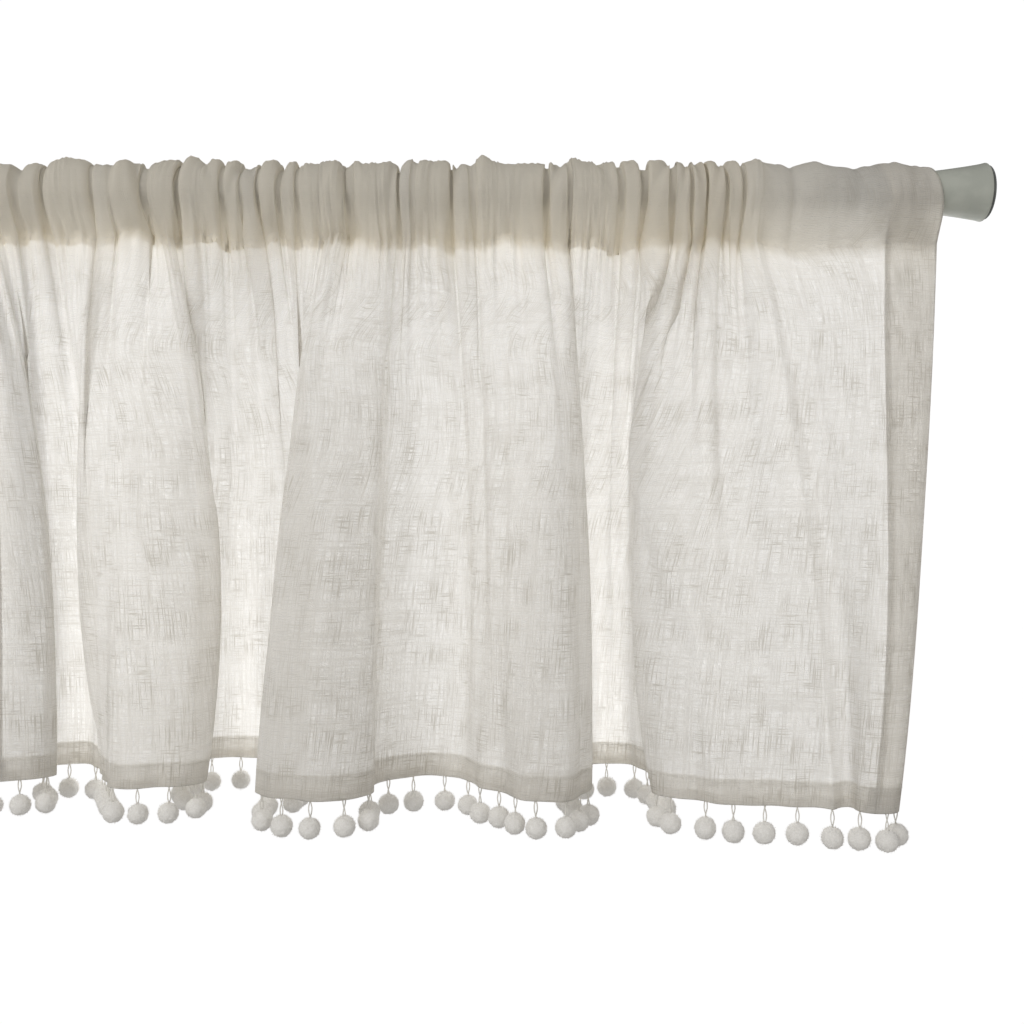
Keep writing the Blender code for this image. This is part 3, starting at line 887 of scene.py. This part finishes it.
def cloth_material(name, openness, crowded_openness, light, dark, painted_shade_tone, glow):
    material, tree, output = new_material(name)
    flat = add_node(tree, "ShaderNodeUVMap")
    crowding_and_shade = add_node(tree, "ShaderNodeAttribute", {"attribute_name": "crowding_and_shade"})
    crowd_and_shade = crowding_and_shade.outputs["Fac"]
    openness = clamped(tree, crowd_and_shade, 0.0, 1.0, openness, crowded_openness)
    weave = place_group(tree, slub_weave, Flat_Cloth=flat.outputs[0], Openness=openness)
    visible = clamped(tree, crowd_and_shade, 0.0, 0.8, SLUBS_SHOW, CROWDED_SLUBS_SHOW)
    toned = math(tree, "MULTIPLY", weave.outputs["Slub Mask"], visible)
    toned = math(tree, "MULTIPLY_ADD", weave.outputs["Cloudy"], CLOUDS_SHOW, toned)
    # Painted shade: where the gathers crowd, the colour turns to a darker, warmer tone.
    colour = blend_colours(tree, crowd_and_shade, blend_colours(tree, toned, light, dark), painted_shade_tone)
    normal = bumped(tree, weave.outputs["Height"], 0.5, THREAD_HEIGHT)
    front = add_node(
        tree, "ShaderNodeBsdfPrincipled", Base_Color=colour, Roughness=0.92,
        Alpha=weave.outputs["Cover"], Specular_IOR_Level=0.0, Normal=normal,
    )
    let_glow(tree, output, front, glow, Color=colour, Normal=normal)
    return material


# The third colour is the painted shade tone of the crowded gathers on the pocket.
slub_cloth = cloth_material(
    "woven_slub_cloth", 0.80, 0.27, (0.93, 0.915, 0.885), (0.54, 0.51, 0.45),
    (0.88, 0.84, 0.755), 0.55
)
set_material(panel, slub_cloth)
print("cloth material:", slub_cloth.name)

# %% [markdown]
# ## The tape of the trim
#
# The trim is bought by the metre: a narrow braid with a pompom at each step. The braid is sewn
# on behind the bottom hem, so that only its lower edge shows. It follows the hem's own row.

# %% Build the tape
TAPE_SHARES = (0.0, 0.25, 0.5, 0.75, 1.0)
TAPE_HALF_EDGE = 0.00018
TAPE_BULGE = 0.00022
WELDED_UNDER = 0.00002


def behind(row, distance):
    return row - towards_room(row) * distance


def tape_rows():
    lower = behind(skirt(front_shares, 1.0), TAPE_BEHIND)
    hem_top = behind(skirt(front_shares, HEM_TOP), TAPE_BEHIND)
    room = towards_room(lower)
    rows = []
    for side, shares in ((-1, TAPE_SHARES), (1, reversed(TAPE_SHARES))):
        for share in shares:
            bulge = TAPE_HALF_EDGE + TAPE_BULGE * sin(pi * share)
            row = lower + (hem_top - lower) * share * TAPE_HEIGHT / BOTTOM_HEM
            rows.append(row + room * bulge * side)
    rows.append(rows[0])
    return rows


tape_around = np.array([0, 0.25, 0.5, 0.75, 1, 1.08, 1.33, 1.58, 1.83, 2.08, 2.16])
tape_flat = [
    np.column_stack([front_shares * FLAT_WIDTH, np.full(FRONT_COLUMNS, around * TAPE_HEIGHT)])
    for around in tape_around
]
tape = sheet_from(tape_rows(), "trim_tape", tape_flat)
bpy.ops.object.mode_set(mode="EDIT")
bpy.ops.mesh.select_all(action="SELECT")
bpy.ops.mesh.remove_doubles(threshold=WELDED_UNDER)
bpy.ops.mesh.select_all(action="DESELECT")
bpy.ops.mesh.select_non_manifold()
bpy.ops.mesh.edge_face_add()
bpy.ops.mesh.select_all(action="SELECT")
bpy.ops.mesh.normals_make_consistent(inside=False)
bpy.ops.object.mode_set(mode="OBJECT")
print("tape:", len(tape.data.polygons), "faces")

# %% [markdown]
# ## Many copies of one small thing
#
# Pompoms, threads and stitches repeat. Each is modelled once, copied to its places with a mesh
# of its own, and joined into one object, which keeps the scene light and easy to move.

# %% Copies joined into one mesh


def joined_copies(models, places, name):
    """One mesh from copies of the models in turn, one at each place."""
    deselect_all()
    copies = []
    for number, place in enumerate(places):
        model = models[number % len(models)]
        copy = model.copy()
        copy.data = model.data.copy()
        copy.matrix_world = place
        bpy.context.collection.objects.link(copy)
        copy.select_set(True)
        copies.append(copy)
    bpy.context.view_layer.objects.active = copies[0]
    bpy.ops.object.join()
    joined = bpy.context.object
    bpy.ops.object.transform_apply(location=True, rotation=True, scale=True)
    joined.name = joined.data.name = name
    for model in models:
        bpy.data.objects.remove(model, do_unlink=True)
    return joined


# %% [markdown]
# ## A pompom
#
# A pompom is a bundle of soft cotton fibres tied in the middle and trimmed round. The ball is a
# sphere made of triangles, roughened by a cloudy displacement, and short tapered fibres stand
# out of it all over. Each ball is moved to its own place in the clouds while they push it out.
# Three different ones are enough: turned at random, no two look alike.

# %% Build the pompoms
CORE_RADIUS = 0.0064
FIBRES = 230
FIBRE_LENGTH = 0.0016
FIBRE_RADIUS = 0.00016
FIBRE_TIP = 0.00003
FIBRE_LEAN = 0.35
FIBRE_SUNK, FIBRE_PROUD = -0.0002, 0.0005
TUFT_SIZE = 0.0016
CLOUDS_APART = 0.03
SWAY = 0.0003
GOLDEN_TURN = 2.39996


def pompom_core(number):
    deselect_all()
    bpy.ops.mesh.primitive_ico_sphere_add(subdivisions=4, radius=CORE_RADIUS)
    core = bpy.context.object
    tufts = bpy.data.textures.new(f"tufts_{number}", "CLOUDS")
    tufts.noise_scale = TUFT_SIZE
    rough = core.modifiers.new("Tufts", "DISPLACE")
    rough.texture = tufts
    rough.texture_coords = "GLOBAL"
    rough.strength = TUFT_SIZE
    rough.mid_level = 0.5
    core.location = (CLOUDS_APART * number, 0, 0)
    bpy.context.view_layer.update()
    bpy.ops.object.modifier_apply(modifier=rough.name)
    core.location = (0, 0, 0)
    bpy.ops.object.shade_smooth()
    return core


def pompom_model(number):
    """A core with its fibres, centred on the origin."""
    core = pompom_core(number)
    deselect_all()
    bpy.ops.mesh.primitive_cone_add(
        vertices=3, radius1=FIBRE_RADIUS, radius2=FIBRE_TIP, depth=FIBRE_LENGTH
    )
    fibre = bpy.context.object
    places = []
    for i in range(FIBRES):
        height = 1 - 2 * (i + 0.5) / FIBRES
        around = i * GOLDEN_TURN
        level = (1 - height**2) ** 0.5
        out = Vector((level * cos(around), level * sin(around), height))
        lean = Vector(random.normal(0, FIBRE_LEAN, 3))
        point = out * (CORE_RADIUS + random.uniform(FIBRE_SUNK, FIBRE_PROUD))
        turn = (out + lean).to_track_quat("Z", "Y").to_matrix().to_4x4()
        places.append(Matrix.Translation(point) @ turn)
    fibres = joined_copies([fibre], places, "fibres")
    deselect_all()
    fibres.select_set(True)
    core.select_set(True)
    bpy.context.view_layer.objects.active = core
    bpy.ops.object.join()
    core.name = f"pompom_model_{number}"
    return core


tape_line = behind(skirt(front_shares, 1.0), TAPE_BEHIND)
steps = np.linspace(FIRST_POMPOM, POMPOM_COUNT - FIRST_POMPOM, POMPOM_COUNT) / POMPOM_COUNT
roots = at(tape_line, front_shares, steps)
models = [pompom_model(number) for number in range(3)]
ball_places = []
for root in roots:
    sway = random.normal(0, SWAY, 3)
    centre = Vector(root + sway) - Vector((0, 0, THREAD_LENGTH + POMPOM_RADIUS))
    turn = Matrix.Rotation(random.uniform(0, 2 * pi), 4, Vector(random.normal(0, 1, 3)))
    size = Matrix.Diagonal((*random.uniform(0.96, 1.03, 3), 1))
    ball_places.append(Matrix.Translation(centre) @ turn @ size)
pompoms = joined_copies(models, ball_places, "pompoms")
print("pompoms:", len(pompoms.data.polygons), "faces")

# %% [markdown]
# ## The threads
#
# Each pompom hangs by two threads that are twisted round each other a little. One pair is a
# short curve with a round bevel, made a mesh and then copied under the tape at each step.

# %% Build the threads
THREAD_THICKNESS = 0.00038
THREAD_APART = 0.00052
THREAD_POINTS = 9
THREAD_TOP = 0.0025
THREAD_BOTTOM = -THREAD_LENGTH - 0.002
THREAD_TURN = 1.3
THREAD_BELLY = 0.9


def thread_model():
    deselect_all()
    curve = bpy.data.curves.new("thread_pair", "CURVE")
    curve.dimensions = "3D"
    curve.bevel_depth = THREAD_THICKNESS
    curve.bevel_resolution = 1
    curve.use_fill_caps = True
    for side in (0, pi):
        spline = curve.splines.new("POLY")
        spline.points.add(THREAD_POINTS - 1)
        for i, point in enumerate(spline.points):
            share = i / (THREAD_POINTS - 1)
            angle = side + share * THREAD_TURN * pi
            spread = THREAD_APART * (1 + THREAD_BELLY * sin(pi * share))
            z = THREAD_TOP + (THREAD_BOTTOM - THREAD_TOP) * share
            point.co = (spread * cos(angle), spread * sin(angle), z, 1)
    pair = bpy.data.objects.new("thread_pair", curve)
    bpy.context.collection.objects.link(pair)
    pair.select_set(True)
    bpy.context.view_layer.objects.active = pair
    bpy.ops.object.convert(target="MESH")
    bpy.ops.object.mode_set(mode="EDIT")
    bpy.ops.mesh.select_all(action="SELECT")
    bpy.ops.mesh.remove_doubles(threshold=0.00001)
    bpy.ops.mesh.normals_make_consistent(inside=False)
    bpy.ops.object.mode_set(mode="OBJECT")
    bpy.ops.object.shade_smooth()
    return bpy.context.object


pair_places = []
for root in roots:
    turn = Matrix.Rotation(random.uniform(0, 2 * pi), 4, "Z")
    pair_places.append(Matrix.Translation(Vector(root)) @ turn)
threads = joined_copies([thread_model()], pair_places, "pompom_threads")
print("threads:", len(threads.data.polygons), "faces")

# %% [markdown]
# ## The stitches
#
# A lockstitch machine sews the hems and the pocket. Each stitch is a short rounded dash that
# lies on the cloth and dips in at both ends. One dash is modelled from a cylinder and copied
# along the seams, turned to the way that the cloth runs. The turn is a pure rotation, since a
# mirrored copy would be inside out.

# %% Build the stitches
STITCH_LENGTH = 0.0024
STITCH_PITCH = 0.0030
STITCH_RADIUS = 0.00012
STITCH_BEND = 0.0007
STITCH_DIP = 0.00022
STITCH_TAPER = 0.6
SEAMS_ACROSS = (0.004, HEM_TOP + 0.006)
SIDE_SEAM = SIDE_HEM - 0.0017
SIDE_SEAM_ROWS = 120


def stitch_model():
    deselect_all()
    bpy.ops.mesh.primitive_cylinder_add(
        vertices=5, radius=STITCH_RADIUS, depth=STITCH_LENGTH, rotation=(0, pi / 2, 0)
    )
    dash = bpy.context.object
    bpy.ops.object.transform_apply(location=False, rotation=True, scale=False)
    bpy.ops.object.mode_set(mode="EDIT")
    for x in (-STITCH_BEND, STITCH_BEND):
        bpy.ops.mesh.select_all(action="SELECT")
        bpy.ops.mesh.bisect(plane_co=(x, 0, 0), plane_no=(1, 0, 0))
    bpy.ops.object.mode_set(mode="OBJECT")
    for vertex in dash.data.vertices:
        if abs(vertex.co.x) > STITCH_LENGTH * 0.45:
            vertex.co.y = vertex.co.y * STITCH_TAPER + STITCH_DIP
            vertex.co.z *= STITCH_TAPER
    bpy.ops.object.shade_smooth()
    return dash


def stitch_places(line, room):
    """A place for each stitch along the line, turned to it and to the cloth's front."""
    travelled = way_along(line)
    places = []
    for along in np.arange(STITCH_PITCH, travelled[-1] - STITCH_PITCH, STITCH_PITCH):
        ends = (along - STITCH_LENGTH / 2, along + STITCH_LENGTH / 2)
        here, ahead = (at(line, travelled, [end])[0] for end in ends)
        out = Vector(at(room, travelled, [along])[0]).normalized()
        run = Vector(ahead - here).normalized()
        side = run.cross(out).normalized()
        out = side.cross(run)
        turn = Matrix((run, -out, -side)).transposed().to_4x4()
        middle = Vector((here + ahead) / 2) + out * STITCH_RADIUS
        places.append(Matrix.Translation(middle) @ turn)
    return places


seam_places = []
for down in SEAMS_ACROSS:
    seam = skirt(front_shares, down)
    seam_places += stitch_places(seam, towards_room(seam))
for from_left in (True, False):
    line, room = [], []
    for down in np.linspace(0.01, 0.995, SIDE_SEAM_ROWS):
        row = skirt(front_shares, down)
        along = way_along(row)
        place = SIDE_SEAM if from_left else along[-1] - SIDE_SEAM
        line.append(at(row, along, [place])[0])
        room.append(at(towards_room(row), along, [place])[0])
    seam_places += stitch_places(np.array(line), np.array(room))
stitches = joined_copies([stitch_model()], seam_places, "stitches")
print(len(seam_places), "stitches,", len(stitches.data.polygons), "faces")

# %% [markdown]
# ## Turned pieces
#
# The end caps and their pads were moulded round. A lathe would cut them from a profile, and so
# does this helper: it starts with a disc and extrudes it from one point of the profile to the
# next, with a new radius each time. The disc and the last face close the two ends.

# %% A lathe made of extrusions
TURNED_SIDES = 72
SHARP_ANGLE = 32
FIRST_RADIUS = 0.003


def turned(name, profile, centre_x, facing):
    """A round piece along the rod's axis. The profile's rows are (along, radius)."""
    deselect_all()
    along, radius = profile[0]
    bpy.ops.mesh.primitive_circle_add(
        vertices=TURNED_SIDES, radius=radius, fill_type="NGON",
        location=(centre_x + facing * along, 0, 0), rotation=(0, pi / 2, 0),
    )
    piece = bpy.context.object
    bpy.ops.object.transform_apply(location=True, rotation=True, scale=True)
    bpy.ops.object.mode_set(mode="EDIT")
    bpy.ops.mesh.select_mode(type="FACE")
    bpy.ops.mesh.select_all(action="SELECT")
    for (old_along, old_radius), (new_along, new_radius) in zip(profile, profile[1:]):
        step = facing * (new_along - old_along)
        bpy.ops.mesh.extrude_region_move(TRANSFORM_OT_translate={"value": (step, 0, 0)})
        ratio = new_radius / old_radius
        bpy.ops.transform.resize(
            value=(1, ratio, ratio), center_override=(centre_x + facing * new_along, 0, 0)
        )
    bpy.ops.mesh.select_all(action="SELECT")
    bpy.ops.mesh.normals_make_consistent(inside=False)
    bpy.ops.object.mode_set(mode="OBJECT")
    bpy.ops.object.shade_smooth_by_angle(angle=radians(SHARP_ANGLE))
    piece.name = piece.data.name = name
    return piece


print("turned pieces have", TURNED_SIDES, "sides")

# %% [markdown]
# ## The rod
#
# A tension rod is two steel tubes, one sliding in the other, with a spring inside. Most of it
# shows only as a shadow through the cloth, but the step between the tubes is there, with the
# rolled lip of the wider one.

# %% Build the rod
ROD_START = PAD_THICKNESS + 2 * CLEARANCE + CAP_LENGTH - CAP_SOCKET_DEPTH
ROD_JOINT = 0.430
ROD_INNER_RADIUS = 0.0098
TUBE_ROUNDING = 0.0006


def rod_profile():
    """The wider tube with a groove and a rolled lip at its end, then the narrower tube."""
    start, end = ROD_START, OVERALL_LENGTH - ROD_START
    return (
        (start, ROD_RADIUS - TUBE_ROUNDING),
        (start + TUBE_ROUNDING, ROD_RADIUS),
        (ROD_JOINT - 0.0040, ROD_RADIUS),
        (ROD_JOINT - 0.0030, ROD_RADIUS - 0.0003),
        (ROD_JOINT - 0.0020, ROD_RADIUS),
        (ROD_JOINT - 0.0004, ROD_RADIUS),
        (ROD_JOINT, ROD_RADIUS - 0.0005),
        (ROD_JOINT, ROD_INNER_RADIUS),
        (end - TUBE_ROUNDING, ROD_INNER_RADIUS),
        (end, ROD_INNER_RADIUS - TUBE_ROUNDING),
    )


rod = turned("rod_tubes", rod_profile(), 0, 1)
print("rod:", len(rod.data.polygons), "faces")

# %% [markdown]
# ## The end caps and their pads
#
# Each cap is a hollow cup of hard plastic that flares to a flat face. Its socket takes the rod.
# A thin soft pad is glued on the face, and its edge shows from the side as a dark line.

# %% Build the caps and pads
FLARE_STEPS = 14
FLARE_CURVE = 0.8
RIM_ROUNDING = 0.0010
PAD_ROUNDING = 0.0003
PAD_OUTER_ROUNDING = 0.0004
PAD_RINGS = (0.0135, 0.0105, 0.0075)
RING_TOP, RING_FLOOR = 0.0006, 0.0003


def cap_profile():
    """From the middle of the flat face, over the flare to the neck, and into the socket."""
    half = CAP_LENGTH / 2
    flare = CAP_FLARE_RADIUS - CAP_NECK_RADIUS
    rows = [(half, 0.004), (half, CAP_FLARE_RADIUS - RIM_ROUNDING)]
    for share in (0.3, 0.6, 0.85, 1.0):
        angle = share * pi / 2
        along = half - RIM_ROUNDING * (1 - cos(angle))
        rows.append((along, CAP_FLARE_RADIUS - RIM_ROUNDING * (1 - sin(angle))))
    for step in range(1, FLARE_STEPS + 1):
        share = step / FLARE_STEPS
        along = half - RIM_ROUNDING - share * (CAP_LENGTH - 0.0022)
        rows.append((along, CAP_FLARE_RADIUS - flare * share**FLARE_CURVE))
    rows.append((-half + 0.0006, CAP_NECK_RADIUS + 0.0002))
    rows.append((-half + 0.0001, CAP_NECK_RADIUS - 0.0003))
    rows.append((-half, ROD_RADIUS + CLEARANCE + 0.0004))
    rows.append((-half + 0.0005, ROD_RADIUS + CLEARANCE))
    rows.append((-half + CAP_SOCKET_DEPTH, ROD_RADIUS + CLEARANCE))
    rows.append((-half + CAP_SOCKET_DEPTH, FIRST_RADIUS))
    return rows


def pad_profile():
    """A soft disc with shallow rings in its outer face."""
    half = PAD_THICKNESS / 2
    floor_at = half - PAD_ROUNDING
    rows = [(-half, FIRST_RADIUS), (-half, PAD_RADIUS - PAD_ROUNDING)]
    rows.append((-half + PAD_ROUNDING, PAD_RADIUS))
    rows.append((half - PAD_OUTER_ROUNDING, PAD_RADIUS))
    rows.append((half, PAD_RADIUS - PAD_OUTER_ROUNDING))
    for ring in PAD_RINGS:
        rows += [(half, ring + RING_TOP), (floor_at, ring + RING_FLOOR)]
        rows += [(floor_at, ring - RING_FLOOR), (half, ring - RING_TOP)]
    rows.append((half, FIRST_RADIUS))
    return rows


caps, pads = [], []
middle = OVERALL_LENGTH / 2
to_cap = middle - PAD_THICKNESS - CLEARANCE - CAP_LENGTH / 2
to_pad = middle - PAD_THICKNESS / 2
for side, facing in (("left", -1), ("right", 1)):
    caps.append(turned(f"cap_{side}", cap_profile(), middle + facing * to_cap, facing))
    pads.append(turned(f"pad_{side}", pad_profile(), middle + facing * to_pad, facing))
print("caps:", [len(cap.data.polygons) for cap in caps], "faces each")

# %% [markdown]
# ## A shared fine grain
#
# Moulded plastic, paint and rubber are never one flat colour. One group makes the fine grain of
# the mould, a slow cloudy change of tone and a little dust, and each material takes what it
# needs of them.

# %% The grain as a node group


def grain_group():
    tree, given, made = new_group(
        "fine_grain",
        [
            ("Place", "NodeSocketVector", None),
            ("Grain Scale", "NodeSocketFloat", 2500.0),
            ("Cloud Scale", "NodeSocketFloat", 60.0),
        ],
        [
            ("Grain", "NodeSocketFloat"),
            ("Cloud", "NodeSocketFloat"),
            ("Dust", "NodeSocketFloat"),
        ],
    )
    place = given.outputs["Place"]
    grain = noise(tree, place, given.outputs["Grain Scale"], 2.0)
    cloud = noise(tree, place, given.outputs["Cloud Scale"], 4.0)
    specks = noise(tree, place, 900.0, 4.0)
    tree.links.new(grain, made.inputs["Grain"])
    tree.links.new(clamped(tree, cloud, 0.35, 0.65), made.inputs["Cloud"])
    tree.links.new(clamped(tree, specks, 0.60, 0.72), made.inputs["Dust"])
    return tree


fine_grain = grain_group()
print("the grain has", len(fine_grain.nodes), "nodes")

# %% [markdown]
# ## Plastic, rubber and paint
#
# The caps, the pads and the rod share one kind of material. The cloudy value changes its tone and
# its gloss a little, and the grain roughens it.

# %% The hard materials


def hard_material(name, light, dark, roughness, rougher, grain_scale, bump_height, coat=0.0):
    """Plastic, paint or rubber, with its grain in its colour, its gloss and its surface."""
    material, tree, output = new_material(name)
    place = add_node(tree, "ShaderNodeTexCoord")
    grain = place_group(
        tree, fine_grain, Place=place.outputs["Object"], Grain_Scale=grain_scale, Cloud_Scale=70.0
    )
    tone = math(tree, "MULTIPLY_ADD", grain.outputs["Dust"], 0.2, grain.outputs["Cloud"])
    colour = blend_colours(tree, tone, light, dark)
    gloss = clamped(tree, grain.outputs["Cloud"], 0.0, 1.0, roughness, rougher)
    shader = add_node(
        tree, "ShaderNodeBsdfPrincipled", Base_Color=colour, Roughness=gloss, Coat_Weight=coat,
        Normal=bumped(tree, grain.outputs["Grain"], 0.4, bump_height),
    )
    tree.links.new(shader.outputs[0], output.inputs["Surface"])
    return material


cap_plastic = hard_material(
    "moulded_cap", (0.42, 0.435, 0.385), (0.37, 0.385, 0.34), 0.34, 0.46, 2600.0, 0.00004
)
pad_rubber = hard_material(
    "soft_pad", (0.16, 0.165, 0.16), (0.11, 0.115, 0.11), 0.75, 0.9, 1800.0, 0.00006
)
# Painted shade: the rod's paint is a darker grey than its own finish, so that it shows through
# the cloth as a shadow.
rod_paint_and_shade = hard_material(
    "rod_paint_and_shade", (0.30, 0.305, 0.295), (0.26, 0.265, 0.255), 0.28, 0.42, 1500.0, 0.00002, 0.2
)
for cap in caps:
    set_material(cap, cap_plastic)
for pad in pads:
    set_material(pad, pad_rubber)
set_material(rod, rod_paint_and_shade)
print("hard materials:", cap_plastic.name, pad_rubber.name, rod_paint_and_shade.name)

# %% [markdown]
# ## Cotton
#
# Pompoms, threads, stitches and the braid are cotton. It scatters light so well that the balls
# look white even with the light behind them, so part of its shader is translucent. A soft noise
# makes the tufts slightly uneven in tone.

# %% The cotton materials


def cotton_material(name, light, dark, scale, glow, bump_height):
    material, tree, output = new_material(name)
    place = add_node(tree, "ShaderNodeTexCoord")
    tufts = noise(tree, place.outputs["Object"], scale, 3.0)
    colour = blend_colours(tree, clamped(tree, tufts, 0.35, 0.68), dark, light)
    front = add_node(
        tree, "ShaderNodeBsdfPrincipled", Base_Color=colour, Roughness=0.95, Sheen_Weight=0.25,
        Specular_IOR_Level=0.15, Normal=bumped(tree, tufts, 0.6, bump_height),
    )
    let_glow(tree, output, front, glow, Color=colour)
    return material


cotton_fluff = cotton_material(
    "cotton_fluff", (0.93, 0.915, 0.885), (0.84, 0.82, 0.78), 1400.0, 0.08, 0.0004
)
cotton_thread = cotton_material(
    "cotton_thread", (0.93, 0.92, 0.89), (0.80, 0.78, 0.73), 3200.0, 0.35, 0.0001
)
set_material(pompoms, cotton_fluff)
set_material(threads, cotton_thread)
# The braid has no crowding, so its painted shade tone never shows.
set_material(tape, cloth_material(
    "sheer_braid", 1.9, 1.9, (0.97, 0.96, 0.94), (0.84, 0.82, 0.78), (0.9, 0.88, 0.85), 0.70
))
set_material(stitches, cotton_thread)
print("cotton materials:", cotton_fluff.name, cotton_thread.name, tape.active_material.name)

# %% [markdown]
# ## Say what each piece is
#
# Every piece rides on the body of the curtain and stands for the plain solid that it dresses.
# Each row of the table also names a material slot of its record.

PIECES = (
    (panel, "sheer_cloth", ["panel"]),
    (stitches, "cotton_trim", []),
    (tape, "cotton_trim", ["pompom_trim"]),
    (threads, "cotton_trim", ["pompom_trim"]),
    (pompoms, "cotton_trim", ["pompom_trim"]),
    (rod, "rod_finish", ["rod"]),
    (caps[0], "cap_plastic", ["end_cap_left"]),
    (caps[1], "cap_plastic", ["end_cap_right"]),
    (pads[0], "pad_rubber", ["end_pad_left"]),
    (pads[1], "pad_rubber", ["end_pad_right"]),
)
for piece, slot, nodes in PIECES:
    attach(piece, "root")
    if nodes:
        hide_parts(*nodes)
triangles = {}
for piece, slot, nodes in PIECES:
    piece.data.calc_loop_triangles()
    triangles[piece.name] = len(piece.data.loop_triangles)
print(triangles, "in all", sum(triangles.values()))

# %% [markdown]
# ## Floor, light and camera
#
# The curtain is shown against white with the light mostly behind it, as in a bright window. Only
# the camera sees that white. For all else the world is dim, and dimmer behind the curtain than
# in front of it. A large soft panel and four soft strips stand close behind the curtain and
# reach the backs of the folds more than their fronts, and a soft lamp in front shapes the
# gathers. The floor is a plain pale disc. The camera is level and looks straight along +Y.

# %% Stage the curtain
BACK_LIGHT = 0.15
FRONT_LIGHT = 0.575
BACKGROUND_WHITE = 1.02
FLOOR_GLOW = 0.89
FLOOR_Z = -1.2
MID_Z = -0.205
BLEND = 0.7


def studio_world():
    world = bpy.data.worlds.new("studio")
    world.use_nodes = True
    tree = world.node_tree
    tree.nodes.clear()
    way = add_node(tree, "ShaderNodeTexCoord")
    parts = add_node(tree, "ShaderNodeSeparateXYZ", Vector=way.outputs["Generated"])
    strength = clamped(tree, parts.outputs[1], -BLEND, BLEND, FRONT_LIGHT, BACK_LIGHT)
    soft = add_node(tree, "ShaderNodeBackground", Color=(1.0, 0.985, 0.965), Strength=strength)
    white = add_node(tree, "ShaderNodeBackground", Color=(1, 1, 1), Strength=BACKGROUND_WHITE)
    path = add_node(tree, "ShaderNodeLightPath")
    both = add_node(
        tree, "ShaderNodeMixShader", Fac=path.outputs["Is Camera Ray"],
        i1=soft.outputs[0], i2=white.outputs[0],
    )
    output = tree.nodes.new("ShaderNodeOutputWorld")
    tree.links.new(both.outputs[0], output.inputs["Surface"])
    return world


def floor_material():
    material, tree, output = new_material("pale_floor")
    shader = add_node(
        tree, "ShaderNodeBsdfPrincipled", Base_Color=(0.3, 0.3, 0.3), Roughness=0.9,
        Emission_Color=(1, 1, 1), Emission_Strength=FLOOR_GLOW,
    )
    tree.links.new(shader.outputs[0], output.inputs["Surface"])
    return material


deselect_all()
bpy.ops.mesh.primitive_circle_add(
    vertices=96, radius=14, fill_type="NGON", location=(0.345, 0, FLOOR_Z)
)
floor = bpy.context.object
floor.name = "floor"
floor.data.materials.append(floor_material())
floor.visible_diffuse = floor.visible_glossy = False
floor.visible_transmission = floor.visible_shadow = False


def soft_lamp(name, place, width, height, energy, aim):
    lamp = bpy.data.lights.new(name, "AREA")
    lamp.shape = "RECTANGLE"
    lamp.size, lamp.size_y = width, height
    lamp.energy = energy
    holder = bpy.data.objects.new(name, lamp)
    holder.location = place
    holder.rotation_euler = (Vector(aim) - Vector(place)).to_track_quat("-Z", "Y").to_euler()
    holder.visible_camera = False
    bpy.context.collection.objects.link(holder)


soft_lamp("front_lamp", (-0.9, -1.9, 0.9), 1.2, 1.2, 20, (0.36, 0, -0.2))
soft_lamp("back_panel", (0.340, 0.112, MID_Z), 0.80, 0.54, 1.23, (0.340, 0, MID_Z))
STRIPS = ((0.108, 0.080), (0.212, 0.048), (0.459, 0.080), (0.668, 0.095))
for number, (x, energy) in enumerate(STRIPS):
    soft_lamp(f"strip_{number}", (x, 0.100, MID_Z), 0.036, 0.50, energy, (x, 0, MID_Z))

camera = bpy.data.objects.new("camera", bpy.data.cameras.new("camera"))
camera.location = (0.393, -0.7425, -0.200)
camera.rotation_euler = (radians(90), 0, 0)
camera.data.sensor_width = 36
camera.data.lens = 1186 / 1024 * 36
camera.data.clip_start = 0.01
bpy.context.collection.objects.link(camera)
scene = bpy.context.scene
scene.camera = camera
scene.world = studio_world()
scene.view_settings.view_transform = "Standard"
print("lamps:", len(bpy.data.lights), "and a camera at", tuple(camera.location))
